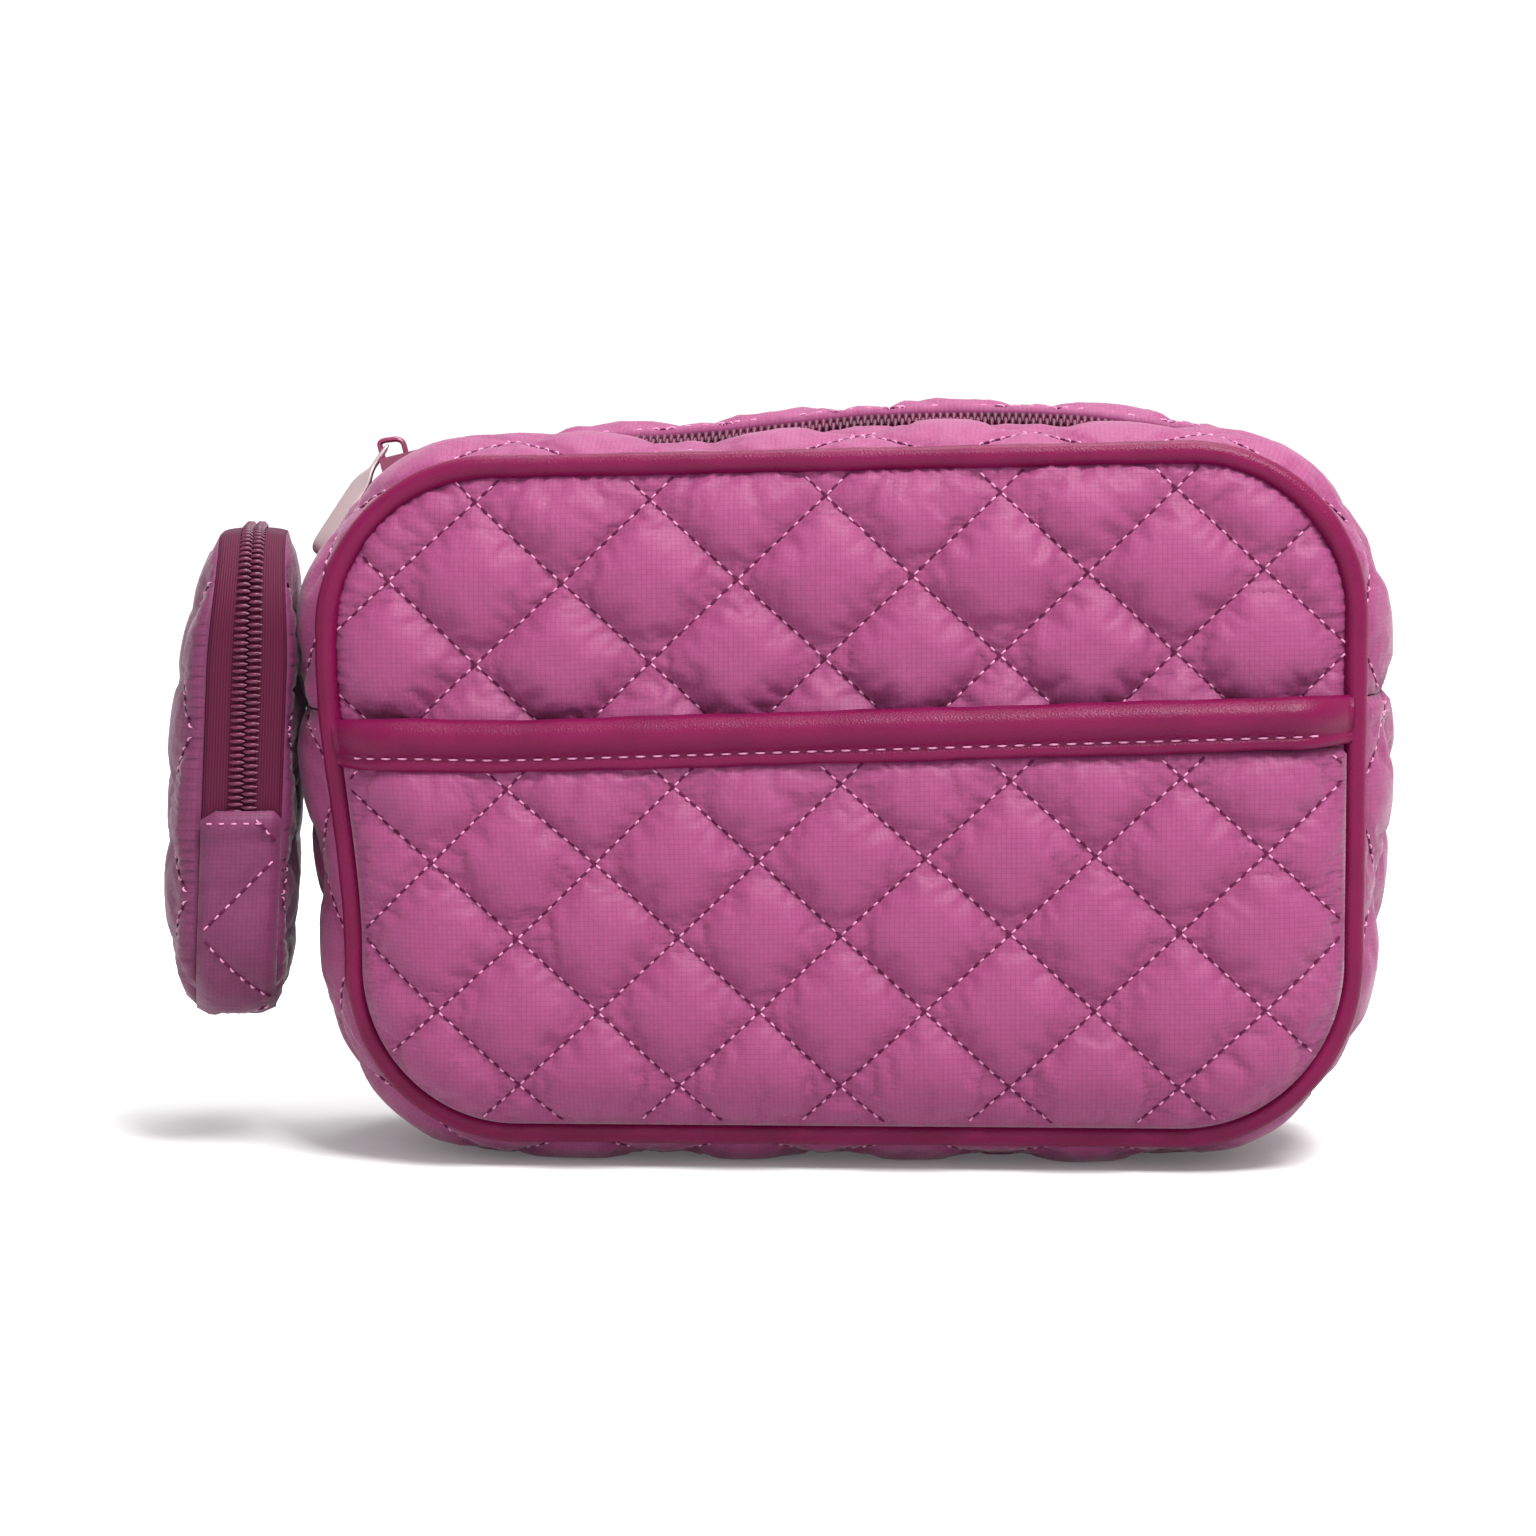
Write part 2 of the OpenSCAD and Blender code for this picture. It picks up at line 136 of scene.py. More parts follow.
lamp("key_lamp", (0.45, -0.75, 1.35), 0.6, KEY_POWER)
lamp("top_lamp", (0.1, 0.25, 1.25), 0.7, TOP_POWER)
lamp("fill_lamp", (-0.2, -1.4, 0.4), 0.8, FILL_POWER)

floor_mesh = bpy.data.meshes.new("floor")
floor_mesh.from_pydata([(-6, -4, 0), (6, -4, 0), (6, 8, 0), (-6, 8, 0)], [], [(0, 1, 2, 3)])
floor = bpy.data.objects.new("floor", floor_mesh)
scene.collection.objects.link(floor)
pale, pale_tree, pale_shader = material("matt_white_paper")
pale_shader.inputs["Base Color"].default_value = paint(PALE_ALBEDO)
pale_shader.inputs["Roughness"].default_value = 0.9
pale_shader.inputs["Specular IOR Level"].default_value = 0.0
pale_shader.inputs["Emission Color"].default_value = (1.0, 1.0, 1.0, 1.0)
# The sheet glows more with its distance from the bag, so it stays white where no lamp reaches.
spot = node(pale_tree, "ShaderNodeTexCoord")
distance = node(pale_tree, "ShaderNodeVectorMath", {"operation": "LENGTH"}, None,
                {0: spot.outputs["Object"]})
glow = node(pale_tree, "ShaderNodeMapRange", None,
            {"From Min": 0.2, "From Max": 1.1, "To Min": 0.08, "To Max": 0.5},
            {"Value": distance.outputs["Value"]})
pale_tree.links.new(glow.outputs["Result"], pale_shader.inputs["Emission Strength"])
floor_mesh.materials.append(pale)
print("lamps:", KEY_POWER, TOP_POWER, FILL_POWER, "W")

# %% [markdown]
# ## The cloths and the metals
# The shell is ripstop nylon: a fine plain weave with a thicker thread about every millimetre both ways,
# calendered so that it has a soft satin shine. The edges are polyurethane leatherette with a fine
# embossed grain. The zip is a polyester tape with a nylon coil, and its slider, pull and ring are cast
# zinc with a satin plating. Patterns that follow the cloth read a flat map named cloth, in millimetres.

# %% Ripstop nylon
RIPSTOP = 0.95


def ripstop(name, light, dark, line):
    """Calendered ripstop: a square grid of thicker threads, soft creases, satin shine."""
    made, tree, shader = material(name)
    cloth = node(tree, "ShaderNodeUVMap", {"uv_map": "cloth"})
    grid = node(
        tree, "ShaderNodeTexBrick", {"offset": 0.0, "squash": 1.0},
        {"Scale": 1.0, "Brick Width": RIPSTOP, "Row Height": RIPSTOP, "Mortar Size": 0.07,
         "Mortar Smooth": 0.4, "Color1": paint(light), "Color2": paint(dark), "Mortar": paint(line)},
        {"Vector": cloth.outputs["UV"]})
    crease_map = node(tree, "ShaderNodeMapping", None, {"Scale": (0.34, 0.15, 0.3)},
                      {"Vector": cloth.outputs["UV"]})
    crease = node(tree, "ShaderNodeTexNoise", None, {"Scale": 1.0, "Detail": 4.0, "Roughness": 0.55},
                  {"Vector": crease_map.outputs["Vector"]})
    weave = node(tree, "ShaderNodeTexNoise", None, {"Scale": 3.2, "Detail": 2.0},
                 {"Vector": cloth.outputs["UV"]})
    worn = node(tree, "ShaderNodeMapRange", None,
                {"From Min": 0.3, "From Max": 0.75, "To Min": 0.0, "To Max": 0.22},
                {"Value": weave.outputs["Fac"]})
    tone = node(tree, "ShaderNodeMix", {"data_type": "RGBA"}, None,
                {"Factor": worn.outputs["Result"]})
    tree.links.new(grid.outputs["Color"], tone.inputs["A"])
    tone.inputs["B"].default_value = paint(line)
    soft = node(tree, "ShaderNodeBump", None, {"Strength": 0.4, "Distance": 0.0009},
                {"Height": crease.outputs["Fac"]})
    fine = node(tree, "ShaderNodeBump", {"invert": True}, {"Strength": 0.35, "Distance": 0.00012},
                {"Height": grid.outputs["Fac"], "Normal": soft.outputs["Normal"]})
    tree.links.new(tone.outputs["Result"], shader.inputs["Base Color"])
    tree.links.new(fine.outputs["Normal"], shader.inputs["Normal"])
    shader.inputs["Roughness"].default_value = 0.58
    shader.inputs["IOR"].default_value = 1.45
    shader.inputs["Specular IOR Level"].default_value = 0.3
    shader.inputs["Sheen Weight"].default_value = 0.12
    shader.inputs["Sheen Roughness"].default_value = 0.4
    return made


# Dyed and calendered ripstop: hot rollers press one side smooth, which gives the soft satin light.
shell_cloth = ripstop("quilted_ripstop_nylon", "#782F58", "#742D55", "#67254B")
# Painted shade: the pouch's cloth is the same ripstop in darker colours, which stand for the shade the
# pouch lies in beside the bag.
pouch_cloth_painted_shade = ripstop("quilted_ripstop_nylon_pouch_painted_shade", "#5A1F42", "#571D40", "#4C1636")


# %% Leatherette, tape, coil, lining, thread
def grained(name, tone, deep, roughness, grain, depth, gloss):
    """A coated or woven surface: cell grain of a given size in mm in its bump, and a colour between deep
    and tone in random patches.
    """
    made, tree, shader = material(name)
    place = node(tree, "ShaderNodeTexCoord")
    cells = node(tree, "ShaderNodeTexVoronoi", {"feature": "DISTANCE_TO_EDGE"},
                 {"Scale": 1000.0 / grain, "Randomness": 0.9}, {"Vector": place.outputs["Object"]})
    patch = node(tree, "ShaderNodeTexNoise", None, {"Scale": 90.0, "Detail": 3.0},
                 {"Vector": place.outputs["Object"]})
    ramp = node(tree, "ShaderNodeValToRGB", None, None, {"Fac": patch.outputs["Fac"]})
    ramp.color_ramp.elements[0].color = paint(deep)
    ramp.color_ramp.elements[0].position = 0.3
    ramp.color_ramp.elements[1].color = paint(tone)
    ramp.color_ramp.elements[1].position = 0.6
    bump = node(tree, "ShaderNodeBump", None, {"Strength": 0.5, "Distance": depth * 0.001},
                {"Height": cells.outputs["Distance"]})
    tree.links.new(ramp.outputs["Color"], shader.inputs["Base Color"])
    tree.links.new(bump.outputs["Normal"], shader.inputs["Normal"])
    shader.inputs["Roughness"].default_value = roughness
    shader.inputs["Specular IOR Level"].default_value = gloss
    return made


def ribbed(name, tone, deep, pitch, roughness):
    """Woven tape: ribs across the tape at a pitch in mm, read from the cloth map."""
    made, tree, shader = material(name)
    cloth = node(tree, "ShaderNodeUVMap", {"uv_map": "cloth"})
    ribs = node(tree, "ShaderNodeTexWave", {"wave_type": "BANDS", "bands_direction": "Y"},
                {"Scale": 0.314 / pitch, "Distortion": 0.6, "Detail": 2.0},
                {"Vector": cloth.outputs["UV"]})
    ramp = node(tree, "ShaderNodeValToRGB", None, None, {"Fac": ribs.outputs["Fac"]})
    ramp.color_ramp.elements[0].color = paint(deep)
    ramp.color_ramp.elements[1].color = paint(tone)
    bump = node(tree, "ShaderNodeBump", None, {"Strength": 0.5, "Distance": 0.00018},
                {"Height": ribs.outputs["Fac"]})
    tree.links.new(ramp.outputs["Color"], shader.inputs["Base Color"])
    tree.links.new(bump.outputs["Normal"], shader.inputs["Normal"])
    shader.inputs["Roughness"].default_value = roughness
    shader.inputs["Specular IOR Level"].default_value = 0.15
    return made


# Polyurethane skin, coated on knit and embossed: a fine grain that breaks its low gloss.
leatherette = grained("polyurethane_leatherette", "#590631", "#52052C", 0.36, 0.7, 0.2, 0.12)
# Nylon wire, wound hot and dyed with the tape: smooth, with small bright lines along each turn.
coil_nylon = grained("moulded_nylon_coil", "#4C0B2D", "#3A0822", 0.42, 1.4, 0.02, 0.3)
# Twisted cotton, unbleached: dull and pale, seen only if the piping is cut.
cord_cotton = grained("twisted_cotton_cord", "#E6DCDC", "#CFC3C3", 0.85, 0.5, 0.12, 0.2)
# Continuous polyester, twisted in three plies: paler than the cloth, so each stitch is a light dash.
thread = grained("twisted_polyester_thread", "#B57597", "#A06183", 0.55, 0.35, 0.06, 0.3)
# Painted shade: the same thread where it dives into its needle hole, coloured dark for the shade there; it
# is the dark dash between two light ones.
needle_hole_shade = grained("shaded_needle_hole", "#4E1436", "#3F0F2B", 0.8, 0.35, 0.04, 0.1)
# Warp-woven polyester, dyed deep: fine dark ribs with almost no gloss.
tape_weave = ribbed("woven_polyester_tape", "#4A0629", "#30051A", 0.62, 0.7)
# Plain taffeta, thin and close: a dull sheen over faint ribs.
lining_weave = ribbed("taffeta_lining", "#7A4C68", "#6B405A", 0.35, 0.6)


# %% Metals
def plated(name, tone, roughness, metallic, scratch):
    """Satin plating or lacquer over cast zinc, with a faint unevenness in its shine."""
    made, tree, shader = material(name)
    place = node(tree, "ShaderNodeTexCoord")
    cloud = node(tree, "ShaderNodeTexNoise", None, {"Scale": 900.0, "Detail": 3.0},
                 {"Vector": place.outputs["Object"]})
    shine = node(tree, "ShaderNodeMapRange", None,
                 {"To Min": roughness - 0.06, "To Max": roughness + 0.08},
                 {"Value": cloud.outputs["Fac"]})
    bump = node(tree, "ShaderNodeBump", None, {"Strength": 0.25, "Distance": scratch * 0.001},
                {"Height": cloud.outputs["Fac"]})
    shader.inputs["Base Color"].default_value = paint(tone)
    shader.inputs["Metallic"].default_value = metallic
    tree.links.new(shine.outputs["Result"], shader.inputs["Roughness"])
    tree.links.new(bump.outputs["Normal"], shader.inputs["Normal"])
    return made


# Zinc castings tumbled and plated with satin nickel: soft grey reflections.
satin_nickel = plated("satin_nickel_plate", "#8C8588", 0.38, 1.0, 0.03)
# The same castings plated pale and faintly pink: the lightest metal on the bag.
pink_silver = plated("pink_silver_plate", "#BFA9AC", 0.4, 1.0, 0.03)
# Baked lacquer over zinc, dyed to match the tape: a hard, smooth shine without metal in it.
magenta_enamel = plated("baked_magenta_enamel", "#650A38", 0.3, 0.0, 0.02)

HARD = {
    "main_slider": magenta_enamel, "main_slider_bridge": magenta_enamel, "main_pull": pink_silver,
    "hanger_ring": satin_nickel, "hanger_gate": satin_nickel, "pouch_slider": satin_nickel,
    "pouch_slider_bridge": magenta_enamel, "pouch_pull": pink_silver}
for name, finish in HARD.items():
    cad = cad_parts[name]
    cad.data.materials.clear()
    cad.data.materials.append(finish)
print("hard parts finished:", len(HARD))

# %% [markdown]
# ## Seam lines
# Every piece hangs on two closed lines: the seam of the bag, where the piping runs, and the outline of
# the pouch. Each is a rounded rectangle. Its point is a centre that slides along the straight runs plus
# a radius that turns in the corners, so both are straight-line functions of the length run.


# %% A rounded rectangle by its length
class Seam:
    """A closed rounded rectangle, run from the bottom middle towards +side, up and round."""

    def __init__(self, half, low, high, radius):
        flat = half - radius
        tall = high - low - 2 * radius
        turn = radius * math.pi / 2
        steps = [flat, turn, tall, turn, 2 * flat, turn, tall, turn, flat]
        self.knots = np.concatenate([[0.0], np.cumsum(steps)])
        self.length = float(self.knots[-1])
        top, bottom = high - radius, low + radius
        self.side = np.array([0, flat, flat, flat, flat, -flat, -flat, -flat, -flat, 0.0])
        self.up = np.array([bottom, bottom, bottom, top, top, top, top, bottom, bottom, bottom])
        self.angle = np.radians([-90, -90, 0, 0, 90, 90, 180, 180, 270, 270.0])
        self.radius = radius
        self.box = (half, low, high)

    def at(self, run):
        """Point = sliding centre + radius times the outward direction; also that direction."""
        s = np.mod(run, self.length)
        angle = np.interp(s, self.knots, self.angle)
        out = np.stack([np.cos(angle), np.sin(angle)], -1)
        centre = np.stack([np.interp(s, self.knots, self.side), np.interp(s, self.knots, self.up)], -1)
        return centre + self.radius * out, out

    def inside(self, side, up, draw_in):
        """Signed distance to the line drawn in by draw_in; it is negative inside."""
        half, low, high = self.box
        qx = np.abs(side) - (half - self.radius)
        qz = np.abs(up - (low + high) / 2) - ((high - low) / 2 - self.radius)
        reach = np.hypot(np.maximum(qx, 0), np.maximum(qz, 0))
        return reach + np.minimum(np.maximum(qx, qz), 0) - self.radius + draw_in


# half width, low and high of each line, and the radius of its corners, all in mm
bag_seam = Seam(108.0, 8.0, 152.0, 36.0)
pouch_seam = Seam(38.0, 34.0, 137.0, 20.0)
BAG_FOLD = 99.0
POUCH_FOLD = 79.0
side_fold = float(bag_seam.knots[2]) + BAG_FOLD - 44.0
pouch_fold = float(pouch_seam.knots[2]) + POUCH_FOLD - 54.0
print("bag seam", round(bag_seam.length, 1), "mm, pouch outline", round(pouch_seam.length, 1), "mm")


# %% How the soft bag stands, and where the pouch hangs
def ease(t):
    """Smooth step from 0 to 1."""
    t = np.clip(t, 0.0, 1.0)
    return t * t * (3 - 2 * t)


def settle(p):
    """The filled bag stands a little askew.

    Its lower left draws in, most at the bottom and at the far left. Its top rises with x and sinks a
    little overall. Whatever would go under the floor is flattened on it, by an exponential.
    """
    x, y, z = p[..., 0], p[..., 1], p[..., 2]
    draw = (5.6 * ease((112.0 - z) / 65.0) - 0.9) * np.clip(-x / 108.0, 0.0, 1.1)
    rise = 0.0225 * x * ease(z / 80.0) * (1 - 0.5 * ease((-x - 66.0) / 30.0))
    rise = rise - 1.2 * ease((z - 100.0) / 50.0)
    lift = z + rise
    lift = np.where(lift < 0.6, 0.6 * np.exp(np.minimum(lift - 0.6, 0.0) / 0.6), lift)
    return np.stack([x + draw, y, lift], -1)


POUCH_PLACE = np.array([-134.5, 6.0])
POUCH_TURN = math.radians(9.0)
POUCH_LEAN = 0.045
POUCH_SHIFT = 1.4
POUCH_DROP = 2.6


def hang(p):
    """Pouch to bag: narrower at the top, a lean with the height, the turn, the place and the drop."""
    narrow = 1 - 0.16 * ease((p[..., 2] - 108.0) / 28.0)
    x = p[..., 0] * narrow + POUCH_LEAN * (p[..., 2] - 95.0) + POUCH_SHIFT
    y = p[..., 1]
    c, s = math.cos(POUCH_TURN), math.sin(POUCH_TURN)
    across = POUCH_PLACE[0] + x * c - y * s
    deep = POUCH_PLACE[1] + x * s + y * c
    return np.stack([across, deep, p[..., 2] - POUCH_DROP], -1)


# %% Meshes from arrays
def grid_faces(rows, columns, ring_rows=False, ring_columns=False):
    """Quads of a grid of points, rows by columns, closed round either way if asked."""
    i = np.arange(rows if ring_rows else rows - 1)[:, None]
    j = np.arange(columns if ring_columns else columns - 1)[None, :]
    i2, j2 = (i + 1) % rows, (j + 1) % columns
    quads = np.stack([i * columns + j, i2 * columns + j, i2 * columns + j2, i * columns + j2], -1)
    return quads.reshape(-1, 4)


def volume(points, groups):
    """Six times the signed volume: each face cut in a fan, corner dot cross product, all summed."""
    total = 0.0
    for faces in groups:
        for k in range(1, faces.shape[1] - 1):
            a, b, c = points[faces[:, 0]], points[faces[:, k]], points[faces[:, k + 1]]
            total += float(np.sum(a * np.cross(b, c)))
    return total


def build(name, points, groups, finish, flat_map=None, finish_of=None):
    """A smooth closed piece from points in mm and groups of faces, turned outwards by its volume."""
    points = np.asarray(points, float).reshape(-1, 3)
    groups = groups if isinstance(groups, list) else [groups]
    if volume(points - points.mean(0), groups) < 0:
        groups = [faces[:, ::-1] for faces in groups]
    mesh = bpy.data.meshes.new(name)
    faces = [face for group in groups for face in group.tolist()]
    mesh.from_pydata((points * 0.001).tolist(), [], faces)
    mesh.update()
    mesh.polygons.foreach_set("use_smooth", np.ones(len(mesh.polygons), bool))
    if flat_map is not None:
        corner = np.empty(len(mesh.loops), np.int32)
        mesh.loops.foreach_get("vertex_index", corner)
        layer = mesh.uv_layers.new(name="cloth")
        layer.data.foreach_set("uv", np.asarray(flat_map, float).reshape(-1, 2)[corner].ravel())
    for one in finish if isinstance(finish, list) else [finish]:
        mesh.materials.append(one)
    if finish_of is not None:
        mesh.polygons.foreach_set("material_index", np.asarray(finish_of, np.int32))
    made = bpy.data.objects.new(name, mesh)
    scene.collection.objects.link(made)
    return made


def edge_loop(faces):
    """The directed edges that only one face has: the rim of an open surface."""
    tails = faces.ravel()
    heads = np.roll(faces, -1, axis=1).ravel()
    key = np.minimum(tails, heads).astype(np.int64) * (faces.max() + 1) + np.maximum(tails, heads)
    _, first, count = np.unique(key, return_index=True, return_counts=True)
    rim = first[count == 1]
    return tails[rim], heads[rim]


def thicken(outer, inner, faces):
    """A closed solid: outer surface, inner one turned over, and a wall of one quad per rim edge."""
    count = len(outer)
    tails, heads = edge_loop(faces)
    wall = np.stack([heads, tails, tails + count, heads + count], -1)
    return np.concatenate([outer, inner]), np.concatenate([faces, faces[:, ::-1] + count, wall])


# %% [markdown]
# ## Quilting
# A quilted piece is shell cloth, wadding and backing, sewn together along two families of slanted
# lines. The grid is cut along those same lines, so every stitch falls on a row of points. The points on
# a stitch line and on the seams are held; the rest is slightly too large for its frame and is blown up
# by cloth pressure, which gives real puckers beside the stitches. A bump map could not cast shadows.


# %% Cut a piece on the quilting grid
def cut(span, cell, start, parts, edge):
    """Grid along the stitch lines: u = u0 + hx(a + b), w = w0 + hz(a - b); rim points moved to the edge."""
    (u0, u1), (w0, w1) = span
    corners = [((u - start[0]) / cell[0], (w - start[1]) / cell[1]) for u in (u0, u1) for w in (w0, w1)]
    plus = [(p + q) / 2 for p, q in corners]
    less = [(p - q) / 2 for p, q in corners]
    a = np.arange(math.floor(min(plus)) * parts, math.ceil(max(plus)) * parts + 1) / parts
    b = np.arange(math.floor(min(less)) * parts, math.ceil(max(less)) * parts + 1) / parts
    a, b = np.meshgrid(a, b, indexing="ij")
    u = start[0] + cell[0] * (a + b)
    w = start[1] + cell[1] * (a - b)
    within = edge(u, w) < 0
    whole = within[:-1, :-1] & within[1:, :-1] & within[1:, 1:] & within[:-1, 1:]
    number = np.arange(a.size).reshape(a.shape)
    faces = np.stack([number[:-1, :-1], number[:-1, 1:], number[1:, 1:], number[1:, :-1]], -1)[whole]
    used = np.unique(faces)
    order = np.zeros(a.size, int)
    order[used] = np.arange(len(used))
    faces = order[faces]
    u, w, a, b = u.ravel()[used], w.ravel()[used], a.ravel()[used], b.ravel()[used]
    rim = np.unique(np.concatenate(edge_loop(faces)))
    for _ in range(3):
        d = edge(u[rim], w[rim])
        du = (edge(u[rim] + 0.01, w[rim]) - d) / 0.01
        dw = (edge(u[rim], w[rim] + 0.01) - d) / 0.01
        u[rim] -= d * du
        w[rim] -= d * dw
    return u, w, a, b, faces, rim


def outward(place, u, w):
    """Unit normal of a placed surface, from the cross product of its two slopes."""
    across = place(u + 0.05, w) - place(u - 0.05, w)
    along = place(u, w + 0.05) - place(u, w - 0.05)
    n = np.cross(across, along)
    return n / np.maximum(np.linalg.norm(n, axis=-1, keepdims=True), 1e-9)


# %% Blow it up
PRESSURE = 4.0
SLACK = -0.09
FRAMES = 18
CAP = 3.2


def blow(points, faces, held, normal):
    """Cloth pressure on a copy a hundred times as large, its rise capped; returns the new points."""
    mesh = bpy.data.meshes.new("blown")
    mesh.from_pydata((points * 0.01).tolist(), [], faces.tolist())
    work = bpy.data.objects.new("blown", mesh)
    scene.collection.objects.link(work)
    work.vertex_groups.new(name="held").add(np.flatnonzero(held).tolist(), 1.0, "REPLACE")
    cloth = work.modifiers.new("cloth", "CLOTH")
    cloth.settings.quality = 5
    cloth.settings.mass = 0.3
    cloth.settings.tension_stiffness = 15.0
    cloth.settings.compression_stiffness = 15.0
    cloth.settings.shear_stiffness = 5.0
    cloth.settings.bending_stiffness = 0.015
    cloth.settings.vertex_group_mass = "held"
    cloth.settings.use_pressure = True
    cloth.settings.uniform_pressure_force = PRESSURE
    cloth.settings.shrink_min = SLACK
    cloth.settings.effector_weights.gravity = 0.0
    cloth.collision_settings.use_collision = False
    cloth.point_cache.frame_end = FRAMES
    for step in range(1, FRAMES + 1):
        scene.frame_set(step)
    view = bpy.context.evaluated_depsgraph_get()
    result = work.evaluated_get(view).to_mesh()
    flat = np.empty(len(result.vertices) * 3)
    result.vertices.foreach_get("co", flat)
    bpy.data.objects.remove(work)
    bpy.data.meshes.remove(mesh)
    scene.frame_set(1)
    move = flat.reshape(-1, 3) * 100.0 - points
    rise = np.sum(move * normal, -1, keepdims=True)
    move += normal * (np.minimum(rise, CAP) - rise)
    return points + move


def quilt(name, span, cell, start, parts, edge, place, warp, puff=1.0, wadding=2.2, shell=None, sewn=None):
    """One quilted piece: cut, placed, puffed, thickened and warped; sewn marks further held points."""
    u, w, a, b, faces, rim = cut(span, cell, start, parts, edge)
    base = place(u, w)
    normal = outward(place, u, w)
    near = np.clip(-edge(u, w) / 4.0, 0.0, 1.0)
    dome = np.abs(np.sin(np.pi * a) * np.sin(np.pi * b)) ** 0.5 * near
    noise = np.random.default_rng(len(faces)).normal(0.0, 0.05, len(u))
    held = (np.abs(a - np.round(a)) * parts < 0.5) | (np.abs(b - np.round(b)) * parts < 0.5)
    held[rim] = True
    held |= near < 0.2
    if sewn is not None:
        held |= sewn(u, w)
    if puff == 0:
        raised = base + normal * (dome * 2.4 * puff)[:, None]
    else:
        first = base + normal * (dome * 1.0 + noise * ~held)[:, None]
        raised = blow(first, faces, held, normal)
        raised = base + (raised - base) * puff
    points, solid = thicken(raised, base - normal * wadding, faces)
    flat = np.stack([u, w], -1)
    made = build(name, warp(points), solid, shell or shell_cloth, np.concatenate([flat, flat]))
    print(name, len(solid), "faces, rise", round(float(np.max(np.sum((raised - base) * normal, -1))), 2))
    return made


# %% [markdown]
# ## Stitches
# Quilting thread is a thick twisted polyester. Each stitch is its own short arch of thread that dives
# into a needle hole at both ends, so it is a small capsule of a few dozen faces set on the surface.


# %% Many small capsules in one mesh
def arches(tail, head, normal, radius, lift, rings=5, sides=6):
    """Arches from tail to head: centre = line + normal times the arch, swept by a small circle."""
    t = np.linspace(0.0, 1.0, rings)
    arch = lift * (1 - (2 * t - 1) ** 4) - 0.45 * radius * (2 * t - 1) ** 4
    thick = radius * np.sqrt(np.clip(1 - (2 * t - 1) ** 6, 0.12, 1.0))
    run = head - tail
    along = run / np.linalg.norm(run, axis=-1, keepdims=True)
    side = np.cross(along, normal)
    side /= np.linalg.norm(side, axis=-1, keepdims=True)
    up = np.cross(side, along)
    centre = tail[:, None] + run[:, None] * t[:, None] + normal[:, None] * arch[:, None]
    turn = np.linspace(0.0, 2 * np.pi, sides, endpoint=False)
    ring = side[:, None] * np.cos(turn)[:, None] + up[:, None] * np.sin(turn)[:, None]
    points = centre[:, :, None] + ring[:, None] * thick[None, :, None, None]
    base = np.arange(len(tail))[:, None] * rings * sides
    walls = (grid_faces(rings, sides, ring_columns=True)[None] + base[:, :, None]).reshape(-1, 4)
    corner = np.arange(sides)
    return points.reshape(-1, 3), [walls, base + corner[::-1], base + (rings - 1) * sides + corner]


def capsules(name, tail, head, normal, radius, lift, finish):
    """One piece made of many arches of one finish."""
    points, groups = arches(tail, head, normal, radius, lift)
    return build(name, points, groups, finish)


THREAD = 0.23
STITCHES = 8


def quilting_thread(name, span, cell, start, edge, place, warp):
    """Both families of lines, whole a or whole b, eight stitches to a diamond's side, and dark arches of
    painted shade at the needle holes.
    """
    (u0, u1), (w0, w1) = span
    reach = int((u1 - u0) / cell[0] + (w1 - w0) / cell[1]) + 4
    line, step = np.meshgrid(np.arange(-reach, reach + 1), np.arange(-reach * STITCHES, reach * STITCHES))
    line, step = line.ravel().astype(float), step.ravel().astype(float)
    points, groups, marks, count = [], [], [], 0
    # The second kind is painted shade: thicker, lower arches over each gap, in the dark finish that stands
    # for the shade at the needle holes.
    for kind, (radius, lift, begin, finish) in enumerate(
            [(THREAD, 0.40, 0.10, 0.56), (THREAD * 1.3, 0.20, 0.50, 1.16)]):
        first, last = (step + begin) / STITCHES, (step + finish) / STITCHES
        tail_a, tail_b = np.concatenate([line, first]), np.concatenate([first, line])
        head_a, head_b = np.concatenate([line, last]), np.concatenate([last, line])
        tu, tw = start[0] + cell[0] * (tail_a + tail_b), start[1] + cell[1] * (tail_a - tail_b)
        hu, hw = start[0] + cell[0] * (head_a + head_b), start[1] + cell[1] * (head_a - head_b)
        keep = (tu > u0) & (tu < u1) & (tw > w0) & (tw < w1)
        keep[keep] = (edge(tu[keep], tw[keep]) < -0.8) & (edge(hu[keep], hw[keep]) < -0.8)
        tu, tw, hu, hw = tu[keep], tw[keep], hu[keep], hw[keep]
        normal = outward(place, (tu + hu) / 2, (tw + hw) / 2)
        some, faces = arches(warp(place(tu, tw)), warp(place(hu, hw)), normal, radius, lift)
        groups += [face + count for face in faces]
        marks += [kind] * sum(len(face) for face in faces)
        points.append(some)
        count += len(some)
    print(name, len(tu), "stitches")
    return build(name, np.concatenate(points), groups, [thread, needle_hole_shade], None, marks)


def seam_thread(name, us, ws, place, warp, pitch=3.6, lift=0.35):
    """Topstitching along a line of cloth points: cut by length into stitches with small gaps."""
    line = place(us, ws)
    run = np.concatenate([[0.0], np.cumsum(np.linalg.norm(np.diff(line, axis=0), axis=-1))])
    marks = np.arange(0.3, run[-1] - pitch, pitch)
    pick = lambda s: (np.interp(s, run, us), np.interp(s, run, ws))
    tail, head, middle = pick(marks), pick(marks + pitch * 0.6), pick(marks + pitch * 0.3)
    normal = outward(place, *middle)
    return capsules(name, warp(place(*tail)), warp(place(*head)), normal, THREAD, lift, thread)


# %% [markdown]
# ## Front panel and slip pocket
# The front face is one quilted panel, and the pocket is a second one laid over its lower part and
# caught in the same seam at its sides and bottom. Both are flat cloth that swells towards the middle.

